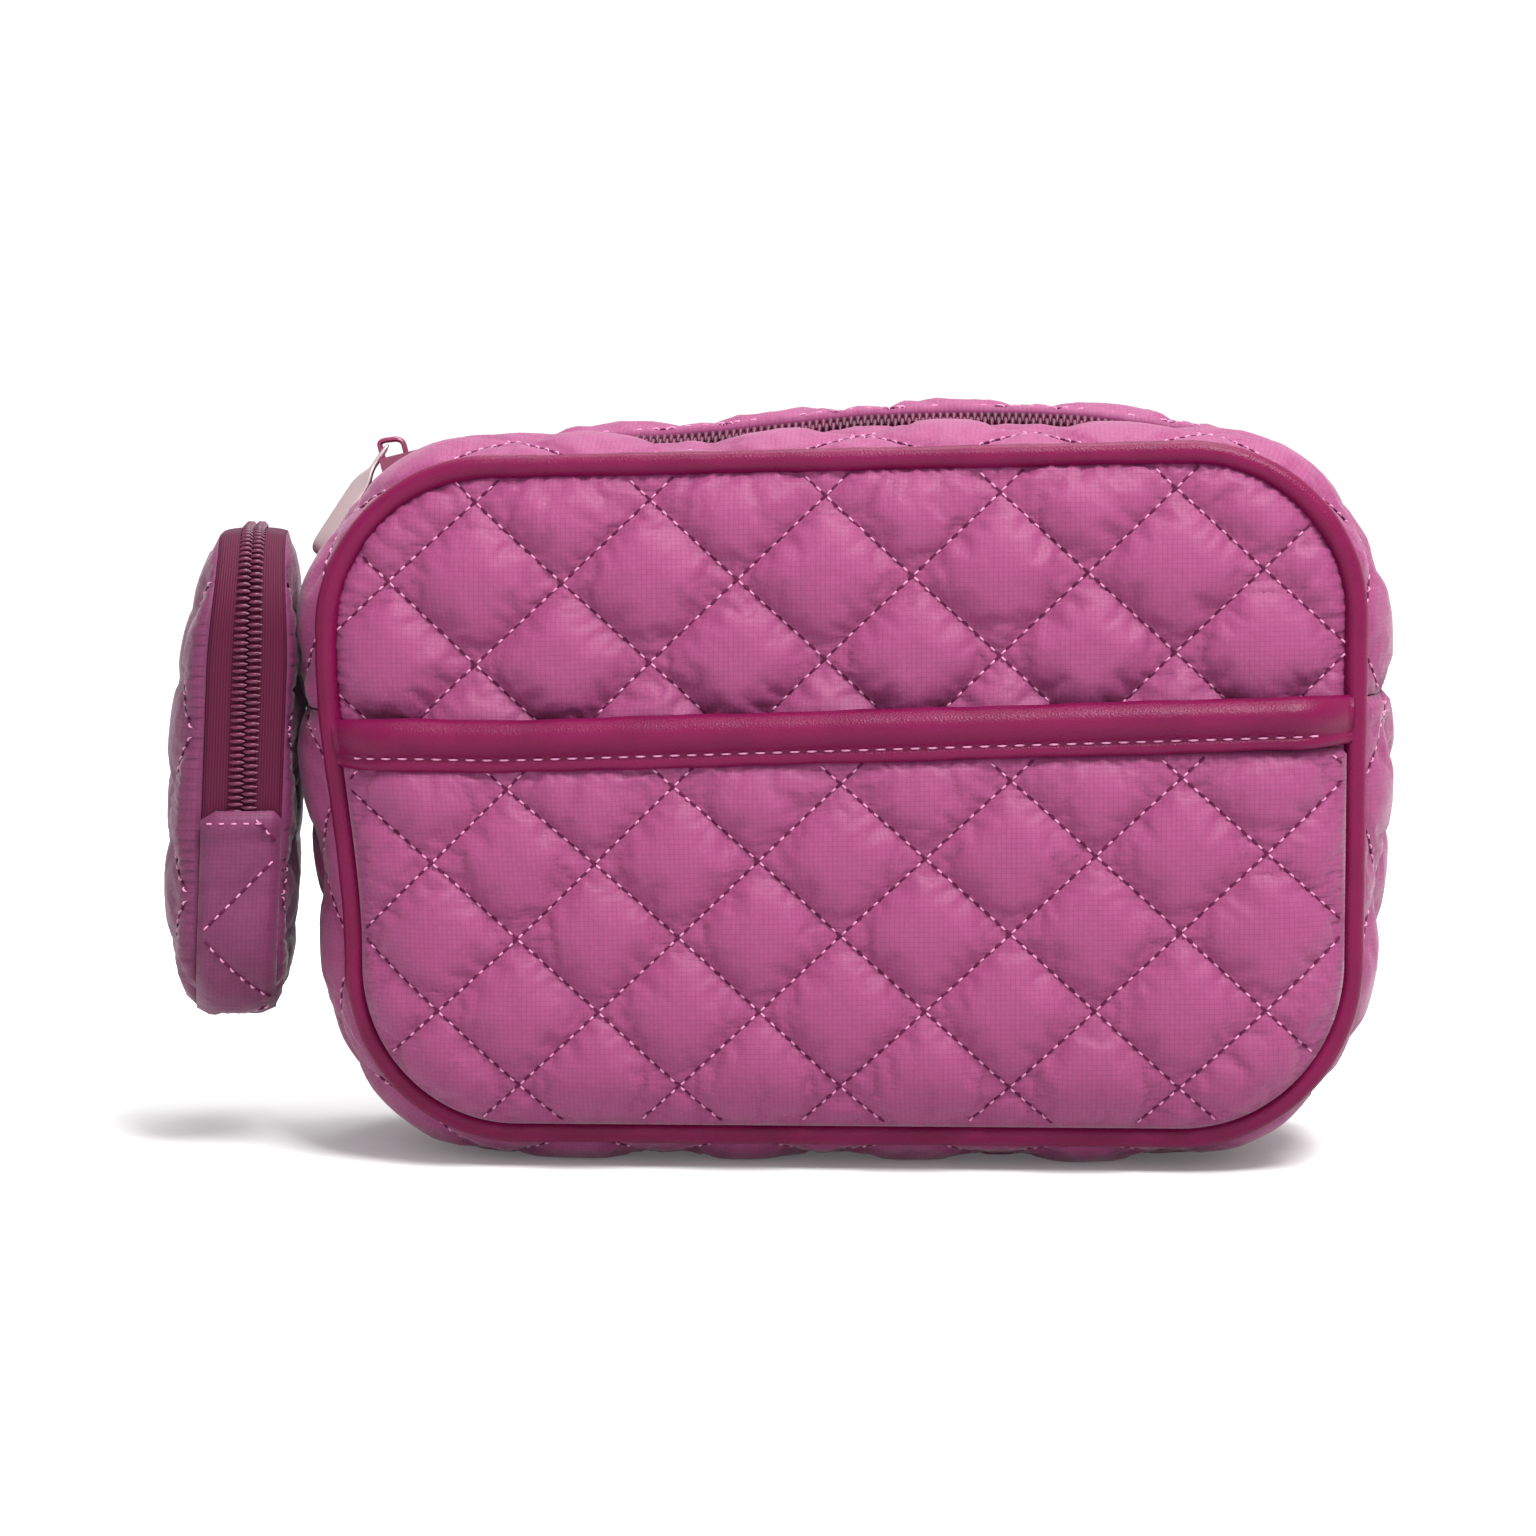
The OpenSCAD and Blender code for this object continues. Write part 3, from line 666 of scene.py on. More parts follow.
# %% Front and back panels
PARTS = 26
GRID = (18.3, 17.6)
FRONT_START = (-3.0, 144.5)
BACK_START = (4.0, 144.5)
panel_span = ((-108.0, 108.0), (8.0, 152.0))
panel_edge = lambda u, w: bag_seam.inside(u, w, 1.4)


def swell(depth, reach, power):
    """Rise from a seam: 1 - (1 - depth / reach) to a power, flat after reach."""
    return 1 - (1 - np.clip(depth / reach, 0.0, 1.0)) ** power


def front_face(u, w):
    """y = -(34.4 + 3.0 swell), x = u, z = w."""
    y = -34.4 - 3.0 * swell(-panel_edge(u, w), 30.0, 3.0)
    return np.stack([u, y, w], -1)


def back_face(u, w):
    """The same turned to the back: x = -u, y = +(34.4 + 4.0 swell)."""
    y = 34.4 + 4.0 * swell(-panel_edge(u, w), 34.0, 2.6)
    return np.stack([-u, y, w], -1)


front_panel = quilt("quilted_front_panel", panel_span, GRID, FRONT_START, PARTS, panel_edge,
                    front_face, settle, 1.0)
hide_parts("front_panel_lower", "front_panel_upper")
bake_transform(front_panel)
front_stitch = quilting_thread("front_panel_thread", panel_span, GRID, FRONT_START, panel_edge,
                               front_face, settle)
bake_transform(front_stitch)

back_panel = quilt("quilted_back_panel", panel_span, GRID, BACK_START, 14, panel_edge,
                   back_face, settle, 0.8)
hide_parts("back_panel")
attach(back_panel, "bag")
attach(quilting_thread("back_panel_thread", panel_span, GRID, BACK_START, panel_edge,
                        back_face, settle), "bag")

# %% Pocket
POCKET_GRID = (17.75, 16.0)
POCKET_START = (0.5, 83.4)
POCKET_TOP = 88.6
pocket_span = ((-107.0, 107.0), (9.0, POCKET_TOP))


def pocket_edge(u, w):
    """Inside the seam, and below the bound top edge."""
    return np.maximum(bag_seam.inside(u, w, 1.9), w - POCKET_TOP)


def pocket_face(u, w):
    """y = -(36.6 + 7.4 swell of the distance to the seam), x = u, z = w."""
    y = -36.6 - 7.4 * swell(-bag_seam.inside(u, w, 1.9), 20.0, 2.4)
    return np.stack([u, y, w], -1)


pocket = quilt("quilted_front_pocket", pocket_span, POCKET_GRID, POCKET_START, PARTS, pocket_edge,
               pocket_face, settle, 0.92, 1.8)
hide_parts("front_pocket")
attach(pocket, "bag")
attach(quilting_thread("front_pocket_thread", pocket_span, POCKET_GRID, POCKET_START, pocket_edge,
                        pocket_face, settle), "bag")


# %% [markdown]
# ## Piping and pocket binding
# Piping is a strip of leatherette folded round a cotton cord and sewn into the seam. The binding is a
# wider strip folded over the top of the pocket: it is full above its stitch line and a thin lip below.


# %% Sweep a profile along a line
def sweep(line, first, second, profile, closed_line=False):
    """Points = line + profile across in the two given directions; the ends are left open, and a ring closes
    on itself.
    """
    points = (line[:, None] + first[:, None] * profile[..., 0][..., None]
              + second[:, None] * profile[..., 1][..., None])
    rows, columns = points.shape[:2]
    faces = grid_faces(rows, columns, ring_rows=closed_line, ring_columns=True)
    return points.reshape(-1, 3), faces


def closed_sweep(name, line, first, second, profile, warp, finish):
    """A sweep whose two ends are drawn together to a point, so that it is closed."""
    points, faces = sweep(line, first, second, profile)
    columns = profile.shape[-2]
    total = len(points)
    tail = np.arange(columns)
    last = total - columns + tail
    low = np.stack([np.roll(tail, -1), tail, np.full(columns, total)], -1)
    high = np.stack([last, np.roll(last, -1), np.full(columns, total + 1)], -1)
    points = np.concatenate([points, line[:1], line[-1:]])
    return build(name, warp(points), [faces, low, high], finish)


PIPE = 2.45


def piping(name, y, radius, finish):
    """A tube along the bag's whole seam: radius times (1 + two small waves of the length run)."""
    run = np.linspace(0.0, bag_seam.length, 412, endpoint=False)
    point, out = bag_seam.at(run)
    line = np.stack([point[:, 0], np.full(len(run), y), point[:, 1]], -1)
    first = np.stack([out[:, 0], np.zeros(len(run)), out[:, 1]], -1)
    second = np.tile([0.0, 1.0, 0.0], (len(run), 1))
    turn = np.linspace(0.0, 2 * np.pi, 16, endpoint=False)
    round_way = 2 * np.pi * run / bag_seam.length
    wave = 1 + 0.02 * np.sin(18 * round_way + 1.0) + 0.015 * np.sin(57 * round_way)
    profile = radius * np.stack([np.cos(turn), np.sin(turn)], -1)[None] * wave[:, None, None]
    points, faces = sweep(line, first, second, profile, True)
    return build(name, settle(points), faces, finish)


front_piping = piping("front_piping", -34.6, PIPE, leatherette)
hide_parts("front_piping_lower", "front_piping_upper")
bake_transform(front_piping)
front_cord = piping("front_piping_cord", -34.6, 1.8, cord_cotton)
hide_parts("front_piping_cord_lower", "front_piping_cord_upper")
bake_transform(front_cord)
back_piping = piping("back_piping_tube", 34.6, PIPE, leatherette)
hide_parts("back_piping")
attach(back_piping, "bag")
back_cord = piping("back_piping_core", 34.6, 1.8, cord_cotton)
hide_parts("back_piping_cord")
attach(back_cord, "bag")

# %% Pocket binding
BINDING_MIDDLE = 93.4
BINDING_RISE = 0.011
span_x = np.linspace(-107.4, 107.4, 144)
tuck = 1 - swell(107.4 - np.abs(span_x), 15.0, 2.2)
bind_line = np.stack([span_x, -44.5 + 8.6 * tuck, BINDING_MIDDLE + BINDING_RISE * span_x], -1)
BIND = np.array([
    (-5.6, -1.1), (-4.6, -1.8), (-3.5, -1.5), (-2.9, -0.95), (-2.3, -1.7), (-0.8, -3.0), (1.2, -3.6),
    (3.2, -3.0), (4.7, -1.6), (5.4, 0.2), (4.9, 1.4), (3.4, 2.1), (0.0, 2.3), (-3.0, 2.2), (-5.4, 1.6)])
bind_profile = np.tile(BIND, (len(span_x), 1, 1)) * np.stack([1 - 0.1 * tuck, 1 - 0.4 * tuck], -1)[:, None]
bind_profile *= (1 + 0.015 * np.sin(span_x * 0.13) + 0.012 * np.sin(span_x * 0.41))[:, None, None]
up_way = np.tile([0.0, 0.0, 1.0], (len(span_x), 1))
back_way = np.tile([0.0, 1.0, 0.0], (len(span_x), 1))
binding = closed_sweep("pocket_binding_strip", bind_line, up_way, back_way, bind_profile, settle,
                       leatherette)
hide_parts("pocket_binding")
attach(binding, "bag")


def binding_stitch_face(u, w):
    """The groove of the binding: x = u, a little in front of the strip's crease."""
    bend = 1 - swell(107.4 - np.abs(u), 15.0, 2.2)
    y = -44.5 + 8.6 * bend - 1.15 + 0.4 * bend
    return np.stack([u, y, BINDING_MIDDLE + BINDING_RISE * u - 2.95 + w], -1)


line_x = np.linspace(-103.0, 103.0, 300)
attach(seam_thread("pocket_binding_thread", line_x, np.zeros(300), binding_stitch_face, settle), "bag")
print("piping and binding sewn")

# %% [markdown]
# ## The band round the bag
# The side band runs round the bag between the two faces: one quilted piece under and up both sides,
# and two narrower strips over the top with the zip between them. Across the band the cloth bulges out
# like half an ellipse. Over the top the front strip lies lower than the back one, so the zip faces
# forward a little.

# %% The band's surface
HALF_DEPTH = 33.4
arc = np.linspace(0.0, np.pi / 2, 400)
arc_length = np.concatenate([[0.0], np.cumsum(np.hypot(
    np.diff(HALF_DEPTH * np.sin(arc)), np.diff(10.0 * np.cos(arc))))])
HALF_WIDTH = float(arc_length[-1])
# The bulge of the band in mm at each knot of the seam and half way between, from the bottom middle.
bulge_run = bag_seam.knots
bulge_at = np.sort(np.concatenate([bulge_run[:-1], (bulge_run[1:] + bulge_run[:-1]) / 2]))
BULGE = [6.6, 6.8, 6.0, 3.4, 4.4, 9.0, 7.4, 4.6, 5.2, 12.0, 5.6, 5.2, 7.8, 9.6, 9.2, 8.6, 7.4, 6.8]
bulge_steps = np.arange(0.0, bag_seam.length, 2.0)
bulge_soft = np.interp(bulge_steps, bulge_at, BULGE, period=bag_seam.length)
for _ in range(60):
    bulge_soft = (np.roll(bulge_soft, 1) + 2 * bulge_soft + np.roll(bulge_soft, -1)) / 4


ZIP_GAP = 5.4
top_u = bag_seam.length / 2
low_end = side_fold - 0.2
upper = (side_fold + 0.1, bag_seam.length - side_fold - 0.1)


def band_face(u, w):
    """Seam point + outward times the bulge's cosine; depth = half depth times its sine."""
    point, out = bag_seam.at(-u)
    turn = np.interp(np.abs(w), arc_length, arc)
    y = np.sign(w) * HALF_DEPTH * np.sin(turn)
    s = np.mod(-u, bag_seam.length)
    high = np.interp(s, bulge_steps, bulge_soft, period=bag_seam.length)
    high = high + 0.8 * ease((s - low_end + 7.0) / 3.0) * (s < low_end)
    high = high + 0.8 * ease((bag_seam.length - s - low_end + 7.0) / 3.0) * (s > bag_seam.length - low_end)
    x_top = point[..., 0]
    over = (point[..., 1] > 130.0) * ease((x_top + 72.0) / 45.0) * ease((90.0 - x_top) / 42.0)
    high = high + over * (3.9 * ease((x_top + 20.0) / 70.0) * (1 - 0.5 * ease((x_top - 55.0) / 40.0)) - 1.5)
    high = high - 5.0 * over * (1 - ease((y + 9.0) / 16.0))
    rise = high * np.cos(turn)
    return np.stack([point[..., 0] + out[..., 0] * rise, y, point[..., 1] + out[..., 1] * rise], -1)


def box_edge(u0, u1, w0, w1):
    """Signed distance to a rectangle of the cloth map."""
    def edge(u, w):
        return np.maximum(np.maximum(u0 - u, u - u1), np.maximum(w0 - w, w - w1))
    return edge


BAND_GRID = (18.3, 17.6)
BAND_START = (top_u - 51.3, -HALF_WIDTH - 2.0)
zip_hem = lambda u, w: np.abs(np.abs(w) - ZIP_GAP - 2.2) < 0.7
side_hem = lambda u, w: np.abs(np.abs(u) - low_end + 4.0) < 0.7
band_pieces = [
    ("quilted_lower_gusset", "lower_gusset", "bag", -low_end, low_end, -HALF_WIDTH, HALF_WIDTH),
    ("quilted_front_strip", "front_gusset_strip", "front_flap", *upper, -HALF_WIDTH, -ZIP_GAP),
    ("quilted_back_strip", "back_gusset_strip", "bag", *upper, ZIP_GAP, HALF_WIDTH)]
for name, cad_name, body, u0, u1, w0, w1 in band_pieces:
    edge = box_edge(u0, u1, w0, w1)
    span = ((u0, u1), (w0, w1))
    piece = quilt(name, span, BAND_GRID, BAND_START, 16, edge, band_face, settle, 0.85, 2.0, None,
                  side_hem if cad_name == "lower_gusset" else zip_hem)
    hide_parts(cad_name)
    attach(piece, body)
    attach(quilting_thread(name + "_thread", span, BAND_GRID, BAND_START, edge, band_face, settle),
            body)
print("band", round(2 * HALF_WIDTH, 1), "mm wide")

# %% Hem stitching of the band
steps = 260
for name, body, us, ws in [
        ("front_strip_hem_thread", "front_flap", np.linspace(upper[0], upper[1], steps),
         np.full(steps, -ZIP_GAP - 2.2)),
        ("back_strip_hem_thread", "bag", np.linspace(upper[0], upper[1], steps),
         np.full(steps, ZIP_GAP + 2.2)),
        ("right_hem_thread", "bag", np.full(steps, low_end - 4.0),
         np.linspace(-HALF_WIDTH + 3, HALF_WIDTH - 3, steps)),
        ("left_hem_thread", "bag", np.full(steps, -low_end + 4.0),
         np.linspace(-HALF_WIDTH + 3, HALF_WIDTH - 3, steps))]:
    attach(seam_thread(name, us, ws, band_face, settle, lift=0.5), body)

# %% [markdown]
# ## Zips
# A coil zip is a woven tape with a nylon spiral sewn to its edge. Only the turns that show are made:
# each is a short rounded bar, and the two sides mesh half a pitch apart.


# %% Thin cloth on a placed surface
def strip(name, span, counts, place, out, inn, warp, finish):
    """A thin closed cloth on a regular grid, from the offset out to the offset inn along the normal."""
    (u0, u1), (w0, w1) = span
    u, w = np.meshgrid(np.linspace(u0, u1, counts[0]), np.linspace(w0, w1, counts[1]), indexing="ij")
    u, w = u.ravel(), w.ravel()
    base, normal = place(u, w), outward(place, u, w)
    faces = grid_faces(*counts)
    points, solid = thicken(base + normal * out, base + normal * inn, faces)
    flat = np.stack([u, w], -1)
    return build(name, warp(points), solid, finish, np.concatenate([flat, flat]))


def teeth(name, run, w0, w1, place, warp, lift, radius):
    """One bar of the coil at each length in run, from w0 to w1 across the tape."""
    tail, head = place(run, np.full(len(run), w0)), place(run, np.full(len(run), w1))
    normal = outward(place, run, np.full(len(run), (w0 + w1) / 2))
    return capsules(name, warp(tail + normal * lift), warp(head + normal * lift), normal, radius, 0.25,
                    coil_nylon)


def zip_face(u, w):
    """The band's surface, its middle lowered towards the right end so that the slider clears it there."""
    _, out = bag_seam.at(-u)
    drop = 2.6 * ease((u - top_u - 52.0) / 30.0) * (1 - ease((np.abs(w) - 3.0) / 4.0))
    return band_face(u, w) - np.stack([out[..., 0] * drop, 0 * drop, out[..., 1] * drop], -1)


PITCH = 1.5
for side, body, way in [(-1, "front_flap", "front"), (1, "bag", "back")]:
    cad_tape, cad_coil = way + "_zip_tape", way + "_zip_coil"
    near, far = sorted([side * 0.3, side * 13.8])
    tape = strip(cad_tape + "_weave", (upper, (near, far)), (200, 8), zip_face, -1.9, -2.5, settle,
                 tape_weave)
    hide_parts(cad_tape)
    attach(tape, body)
    run = np.arange(upper[0] + 1.0, upper[1] - 1.0, PITCH) + (0.0 if side > 0 else PITCH / 2)
    coil = teeth(cad_coil + "_turns", run, side * -0.35, side * 3.0, zip_face, settle, -0.9, 0.52)
    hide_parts(cad_coil)
    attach(coil, body)
print("main zip", len(run), "turns a side")

# %% [markdown]
# ## Linings
# Inside, every wall is covered with thin taffeta. It lies flat against the quilting, so it is plain
# cloth on the same surfaces, a little further in.


# %% Lining sheets
def face_cloth(name, face, edge, span, parts, out, inn, warp, finish):
    """Flat-cut cloth for a panel, on the quilting grid but without its puffs."""
    u, w, _, _, faces, _ = cut(span, GRID, FRONT_START, parts, edge)
    base, normal = face(u, w), outward(face, u, w)
    points, solid = thicken(base + normal * out, base + normal * inn, faces)
    flat = np.stack([u, w], -1)
    return build(name, warp(points), solid, finish, np.concatenate([flat, flat]))


inner_edge = lambda u, w: bag_seam.inside(u, w, 4.5)
plain_front = lambda u, w: np.stack([u, np.full(np.shape(u), -33.6), w], -1)
plain_back = lambda u, w: np.stack([-u, np.full(np.shape(u), 33.6), w], -1)

front_lining = face_cloth("front_lining_sheet", plain_front, inner_edge, panel_span, 6, 0.0, -0.5,
                          settle, lining_weave)
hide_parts("lining_front_lower", "lining_front_upper")
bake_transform(front_lining)
back_lining = face_cloth("back_lining_sheet", plain_back, inner_edge, panel_span, 6, 0.0, -0.5,
                         settle, lining_weave)
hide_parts("lining_back")
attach(back_lining, "bag")

low_run = (-low_end + 0.5, low_end - 0.5)
sheets = [
    ("lower_lining_sheet", "lower_gusset", "bag", low_run, (-33.5, 33.5), -2.3, (300, 18)),
    ("front_strip_lining", "front_strip", "front_flap", upper, (-33.5, -7.5), -2.9, (240, 8)),
    ("back_strip_lining", "back_strip", "bag", upper, (7.5, 33.5), -2.9, (240, 8))]
for name, part, body, us, ws, depth, counts in sheets:
    sheet = strip(name, (us, ws), counts, band_face, depth, depth - 0.5, settle, lining_weave)
    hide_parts("lining_" + part)
    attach(sheet, body)

pocket_lining_edge = lambda u, w: np.maximum(bag_seam.inside(u, w, 6.5), w - 86.5)
pocket_back = lambda u, w: pocket_face(u, w) + np.array([0.0, 2.2, 0.0])
pocket_sheet = face_cloth("pocket_lining_sheet", pocket_back, pocket_lining_edge,
                          ((-103.0, 103.0), (13.0, 86.5)), 6, 0.0, -0.4, settle, lining_weave)
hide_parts("pocket_lining")
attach(pocket_sheet, "bag")

# %% [markdown]
# ## The pouch
# The small pouch is two quilted panels on a narrow band. Its lower band is quilted too, and the rest of
# the way round is zip tape, so the zip faces the front. The panels bulge well past their seams.

# %% Pouch surfaces
POUCH_EDGE = 8.6
pouch_panel_edge = lambda u, w: pouch_seam.inside(u, w, 0.3)


def pouch_wall(side, full):
    """x = side times (pouch edge + full times a circle's rise from the seam), y = side u, z = w."""
    def face(u, w):
        depth = np.clip(-pouch_panel_edge(u, w) / 15.0, 0.0, 1.0)
        hump = np.maximum(1 - ((w - 78.0) / 60.0) ** 2, 0.0) ** 0.9
        rise = full * np.sqrt(np.maximum(1 - (1 - depth) ** 2, 0.0)) * hump
        return np.stack([side * (POUCH_EDGE + rise), side * u, w], -1)
    return face


def pouch_band(u, w):
    """Outline point + outward times a shallow bulge; the width runs across the pouch."""
    point, out = pouch_seam.at(u)
    rise = 1.2 * np.sqrt(np.maximum(1 - (w / 9.0) ** 2, 0.0))
    return np.stack([w, point[..., 0] + out[..., 0] * rise, point[..., 1] + out[..., 1] * rise], -1)


def pouch_gusset_face(u, w):
    """The lower band: the same surface, its two hemmed ends raised over the ends of the tape."""
    _, out = pouch_seam.at(u)
    lift = 1.5 * ease((np.abs(u) - pouch_fold + 7.0) / 3.5)
    return pouch_band(u, w) + np.stack([0 * lift, out[..., 0] * lift, out[..., 1] * lift], -1)


POUCH_SPAN = ((-38.0, 38.0), (34.0, 137.0))
POUCH_START = (0.0, 60.0)
# The pouch panels are cut from the darker cloth of painted shade.
for name, side, full, nodes in [
        ("pouch_inner_quilt", 1, 1.3, ["pouch_inner_panel"]),
        ("pouch_outer_quilt", -1, 5.6, ["pouch_outer_panel_lower", "pouch_outer_panel_upper"])]:
    wall = pouch_wall(side, full)
    piece = quilt(name, POUCH_SPAN, GRID, POUCH_START, 16, pouch_panel_edge, wall, hang, 0.7, 1.6,
                  pouch_cloth_painted_shade)
    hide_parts(*nodes)
    threads = quilting_thread(name + "_thread", POUCH_SPAN, GRID, POUCH_START, pouch_panel_edge,
                              wall, hang)
    for made in (piece, threads):
        if side > 0:
            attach(made, "pouch")
        else:
            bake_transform(made)

# %% Pouch band, tape and coil
pouch_low = (-pouch_fold + 0.4, pouch_fold - 0.4)
pouch_up = (pouch_fold - 3.4, pouch_seam.length - pouch_fold + 3.4)
pouch_box = box_edge(*pouch_low, -POUCH_EDGE, POUCH_EDGE)
band_span = (pouch_low, (-POUCH_EDGE, POUCH_EDGE))
PB_START = (27.0 - pouch_fold, -8.2)
pouch_hem = lambda u, w: np.abs(np.abs(u) - pouch_fold + 3.0) < 0.7
# The lower band is cut from the same darker cloth of painted shade.
pouch_gusset = quilt("pouch_lower_band_quilt", band_span, GRID, PB_START, 14, pouch_box,
                     pouch_gusset_face, hang, 0.6, 1.3, pouch_cloth_painted_shade, pouch_hem)
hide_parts("pouch_lower_gusset")
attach(pouch_gusset, "pouch")
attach(quilting_thread("pouch_lower_band_thread", band_span, GRID, PB_START, pouch_box,
                        pouch_gusset_face, hang), "pouch")
for end in (-1, 1):
    hem = seam_thread(f"pouch_hem_thread_{'front' if end < 0 else 'back'}",
                      np.full(40, end * (pouch_fold - 3.0)), np.linspace(-7.8, 7.8, 40),
                      pouch_gusset_face, hang, 2.6)
    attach(hem, "pouch")

for side, body, which in [(1, "pouch", "inner"), (-1, "pouch_flap", "outer")]:
    near, far = sorted([side * 0.3, side * POUCH_EDGE])
    tape = strip(f"pouch_tape_{which}_weave", (pouch_up, (near, far)), (150, 8), pouch_band,
                 -0.4, -1.0, hang, tape_weave)
    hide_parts(f"pouch_zip_tape_{which}")
    run = np.arange(pouch_up[0] + 1.0, pouch_up[1] - 1.0, PITCH) + (0.0 if side > 0 else PITCH / 2)
    coil = teeth(f"pouch_coil_{which}_turns", run, side * -0.2, side * 3.1, pouch_band, hang, 0.25, 0.5)
    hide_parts(f"pouch_zip_coil_{which}")
    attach(tape, body)
    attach(coil, body)

# %% Pouch linings
pouch_inner_edge = lambda u, w: pouch_seam.inside(u, w, 4.8)
for name, side, full, nodes in [
        ("pouch_inner_lining", 1, 0.0, ["pouch_lining_inner"]),
        ("pouch_outer_lining", -1, 4.2, ["pouch_lining_outer_lower", "pouch_lining_outer_upper"])]:
    flat_wall = lambda u, w: pouch_wall(side, full)(u, w) - np.array([side * 2.0, 0.0, 0.0])
    made = face_cloth(name, flat_wall, pouch_inner_edge, POUCH_SPAN, 5, 0.0, -0.4, hang, lining_weave)
    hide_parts(*nodes)
    if side > 0:
        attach(made, "pouch")
    else:
        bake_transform(made)
gusset_lining = strip("pouch_band_lining", (pouch_low, (-7.0, 7.0)), (160, 8), pouch_band, -1.8, -2.2,
                      hang, lining_weave)
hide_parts("pouch_lining_gusset")
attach(gusset_lining, "pouch")

# %% [markdown]
# ## Hanger straps
# Two folded leatherette straps carry the ring: one is sewn to the side of the bag, the other to the
# pouch. Each strap is a flat band that goes round the ring's wire and back.


# %% Straps
def strap(name, path, width, thick, finish):
    """A flat strap: a rounded rectangle carried along a path in the plane that faces the front."""
    path = np.asarray(path, float)
    run = np.concatenate([[0.0], np.cumsum(np.linalg.norm(np.diff(path, axis=0), axis=-1))])
    s = np.linspace(0.0, run[-1], 60)
    x, z = np.interp(s, run, path[:, 0]), np.interp(s, run, path[:, 1])
    for _ in range(4):
        x[1:-1] = (x[:-2] + 2 * x[1:-1] + x[2:]) / 4
        z[1:-1] = (z[:-2] + 2 * z[1:-1] + z[2:]) / 4
    slope = np.stack([np.gradient(x), np.gradient(z)], -1)
    slope /= np.linalg.norm(slope, axis=-1, keepdims=True)
    line = np.stack([x, np.full(len(s), 14.0), z], -1)
    first = np.stack([slope[:, 1], np.zeros(len(s)), -slope[:, 0]], -1)
    second = np.tile([0.0, 1.0, 0.0], (len(s), 1))
    h, t = width / 2, thick / 2
    shape = np.array([(t, -h + 0.3), (t, h - 0.3), (0.5 * t, h), (-0.5 * t, h), (-t, h - 0.3),
                      (-t, -h + 0.3), (-0.5 * t, -h), (0.5 * t, -h)])
    return closed_sweep(name, line, first, second, np.tile(shape, (len(s), 1, 1)), lambda p: p, finish)


RING_X, RING_Z = -121.2, 103.5
bag_strap = strap("hanger_strap_bag", [
    (-118.4, 121.5), (-118.8, 116.0), (-118.7, 112.0), (-119.6, 109.4), (-121.2, 108.5),
    (-123.2, 109.8), (-123.7, 112.4), (-121.8, 115.0), (-119.8, 117.4), (-119.1, 121.0)], 4.6, 0.8,
    leatherette)
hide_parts("hanger_tab_bag")
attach(bag_strap, "bag")
pouch_strap = strap("hanger_strap_pouch", [
    (-125.6, 86.0), (-124.6, 90.4), (-123.8, 94.0), (-123.4, 96.8), (-121.6, 98.5), (-119.4, 97.5),
    (-118.7, 94.9), (-119.9, 92.3), (-122.4, 90.2), (-124.8, 86.6)], 4.6, 0.8, leatherette)
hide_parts("hanger_tab_pouch")
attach(pouch_strap, "pouch")

# %% [markdown]
# ## Slider bridge and pull
# The bridge of the main slider is a bent strip of lacquered zinc, and the pull is a cast bar with a
# satin plating that hangs from it. The bar is slightly turned about its length, as a loose pull is, so
# its flat side is seen. Both are profiles carried along a path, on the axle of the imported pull.

# %% The slider's own frame
SLIDER_TURN = math.radians(-14.0)
DOME = 400.0
DOME_MIDDLE = 162.5 - DOME
DROOP = math.radians(56.0)


def on_dome(x, z):
    """Slider to bag: x along the zip and z outwards, turned about the middle of the dome."""
    c, s = math.cos(SLIDER_TURN), math.sin(SLIDER_TURN)
    reach = DOME + z
    return np.stack([x * c + reach * s, np.zeros(np.shape(x)), DOME_MIDDLE - x * s + reach * c], -1)


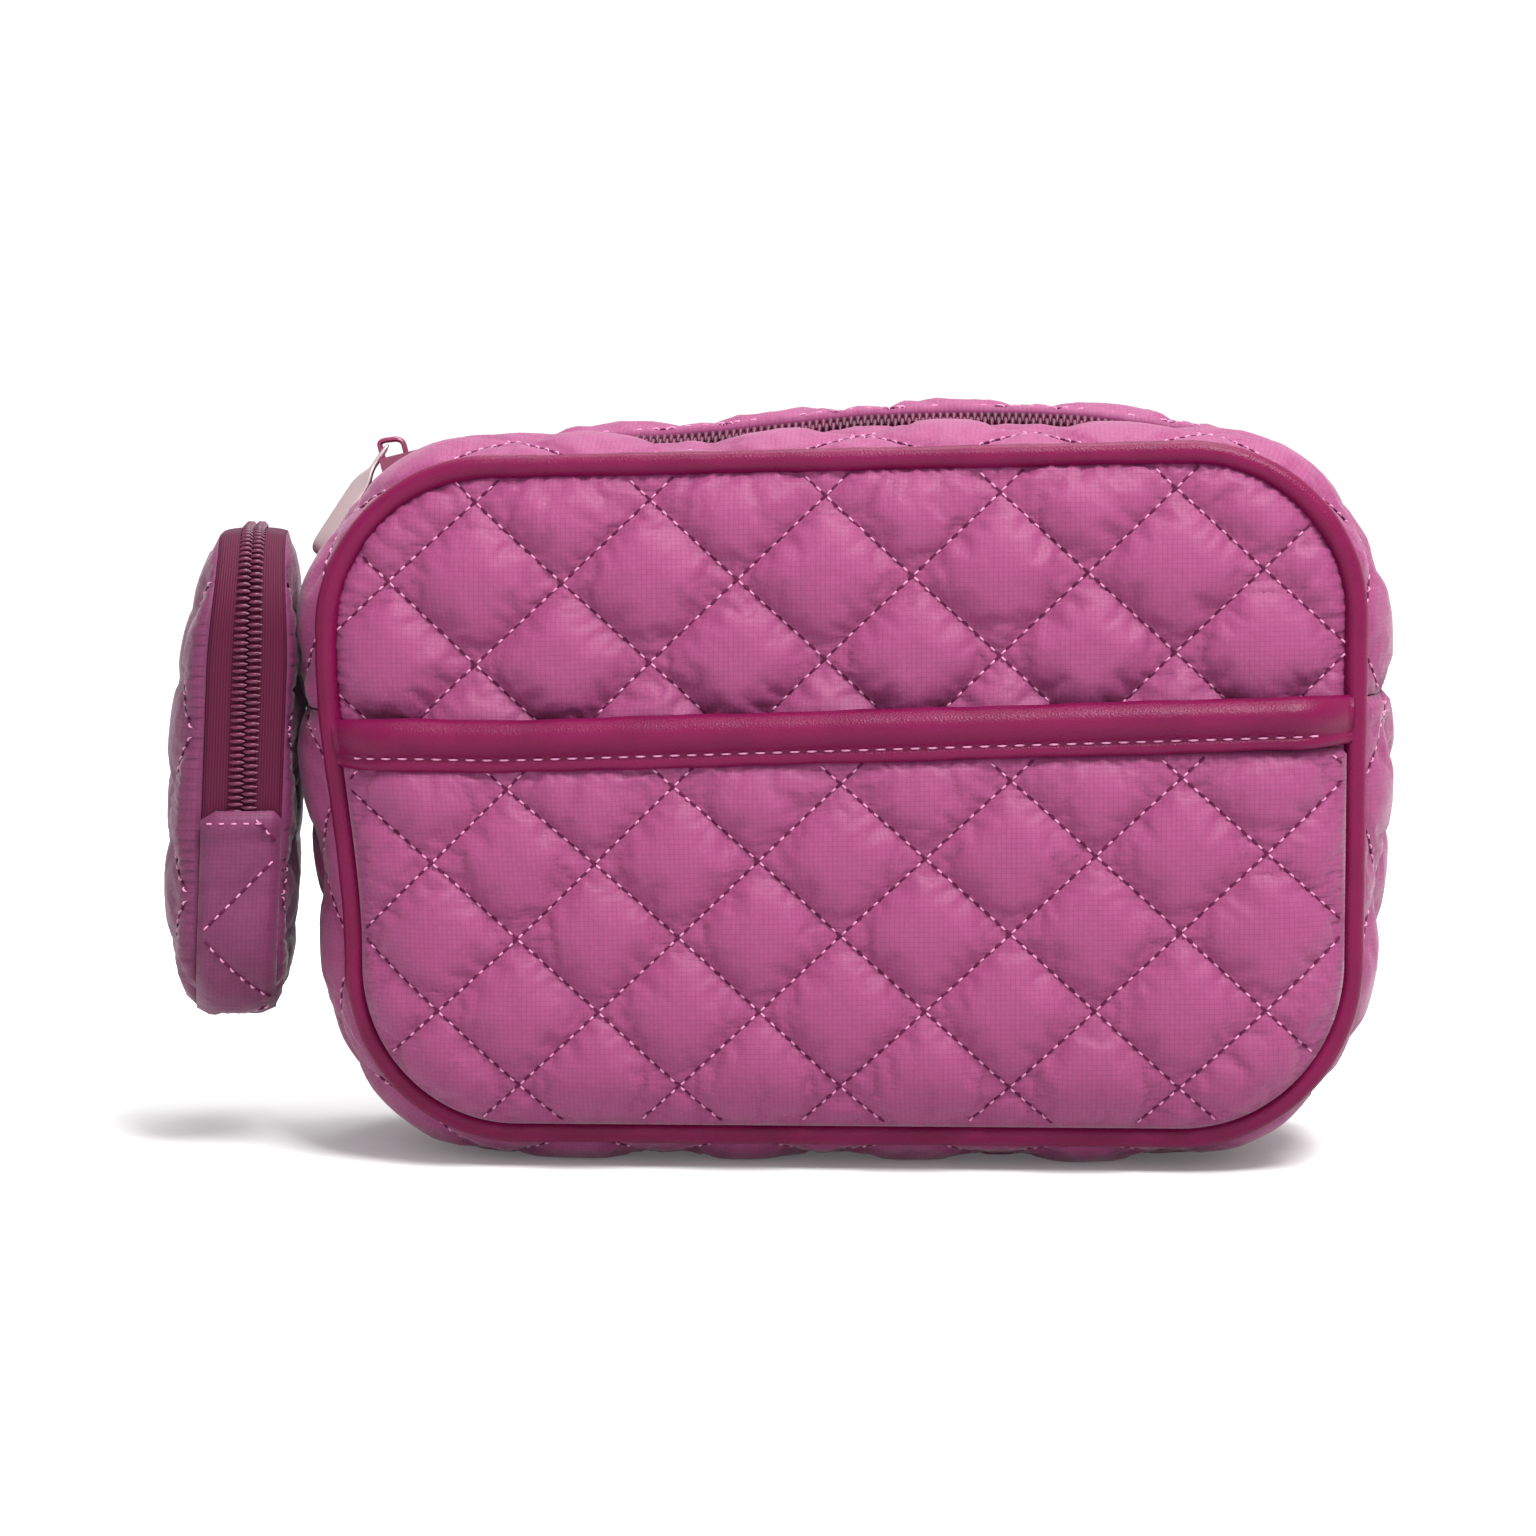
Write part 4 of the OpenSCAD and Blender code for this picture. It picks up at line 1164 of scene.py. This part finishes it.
def smooth_path(corners, count, rounds):
    """Corners joined, divided evenly and averaged with their neighbours until they are round."""
    corners = np.asarray(corners, float)
    run = np.concatenate([[0.0], np.cumsum(np.linalg.norm(np.diff(corners, axis=0), axis=-1))])
    s = np.linspace(0.0, run[-1], count)
    line = np.stack([np.interp(s, run, corners[:, k]) for k in range(corners.shape[1])], -1)
    for _ in range(rounds):
        line[1:-1] = (line[:-2] + 2 * line[1:-1] + line[2:]) / 4
    return line


arch_line = smooth_path([(-4.6, 0.8), (-4.6, 4.9), (-3.4, 5.1), (-0.4, 4.7), (0.6, 3.8), (0.6, 0.8)], 48, 6)
arch_points = on_dome(arch_line[:, 0], arch_line[:, 1])
slope = np.gradient(arch_points, axis=0)
slope /= np.linalg.norm(slope, axis=-1, keepdims=True)
depth_way = np.tile([0.0, 1.0, 0.0], (48, 1))
turn = np.linspace(0.0, 2 * np.pi, 14, endpoint=False)
oval = np.stack([0.62 * np.cos(turn), 1.1 * np.sin(turn)], -1)
bridge = closed_sweep("slider_bridge_arch", arch_points, np.cross(depth_way, slope), depth_way,
                      np.tile(oval, (48, 1, 1)), lambda p: p, magenta_enamel)
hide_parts("main_slider_bridge")
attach(bridge, "main_slider")

axle = on_dome(np.array(-3.2), np.array(3.6))
down = np.array([-math.cos(DROOP), 0.0, -math.sin(DROOP)])
reach = np.linspace(-0.6, 28.3, 90)
neck = ease((reach - 2.0) / 2.0) * (1 - ease((reach - 4.0) / 4.0))
half = 1.5 + 0.9 * ease((reach - 4.0) / 5.0) - 0.5 * neck
half = half * np.sqrt(np.clip(1 - ((reach - 13.85) / 14.5) ** 12, 0.02, 1.0))
flat = 0.62 + 0.2 * ease((reach - 5.0) / 6.0)
flat = flat * np.sqrt(np.clip(1 - ((reach - 13.85) / 14.5) ** 12, 0.05, 1.0))
twist = math.radians(62.0) * ease((reach - 3.0) / 9.0)
cross_way = np.stack([np.sin(twist) * down[2], np.cos(twist), -np.sin(twist) * down[0]], -1)
face_way = np.cross(cross_way, down)
bar = np.stack([np.cos(turn), np.sin(turn)], -1)
bar = np.sign(bar) * np.abs(bar) ** 0.6
bar_profile = bar[None] * np.stack([half, flat], -1)[:, None]
pull = closed_sweep("slider_pull_bar", axle + reach[:, None] * down, cross_way, face_way, bar_profile,
                    lambda p: p, pink_silver)
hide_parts("main_pull")
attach(pull, "main_pull")
print("pull from", np.round(axle, 2), "to", np.round(axle + 28.3 * down, 2))
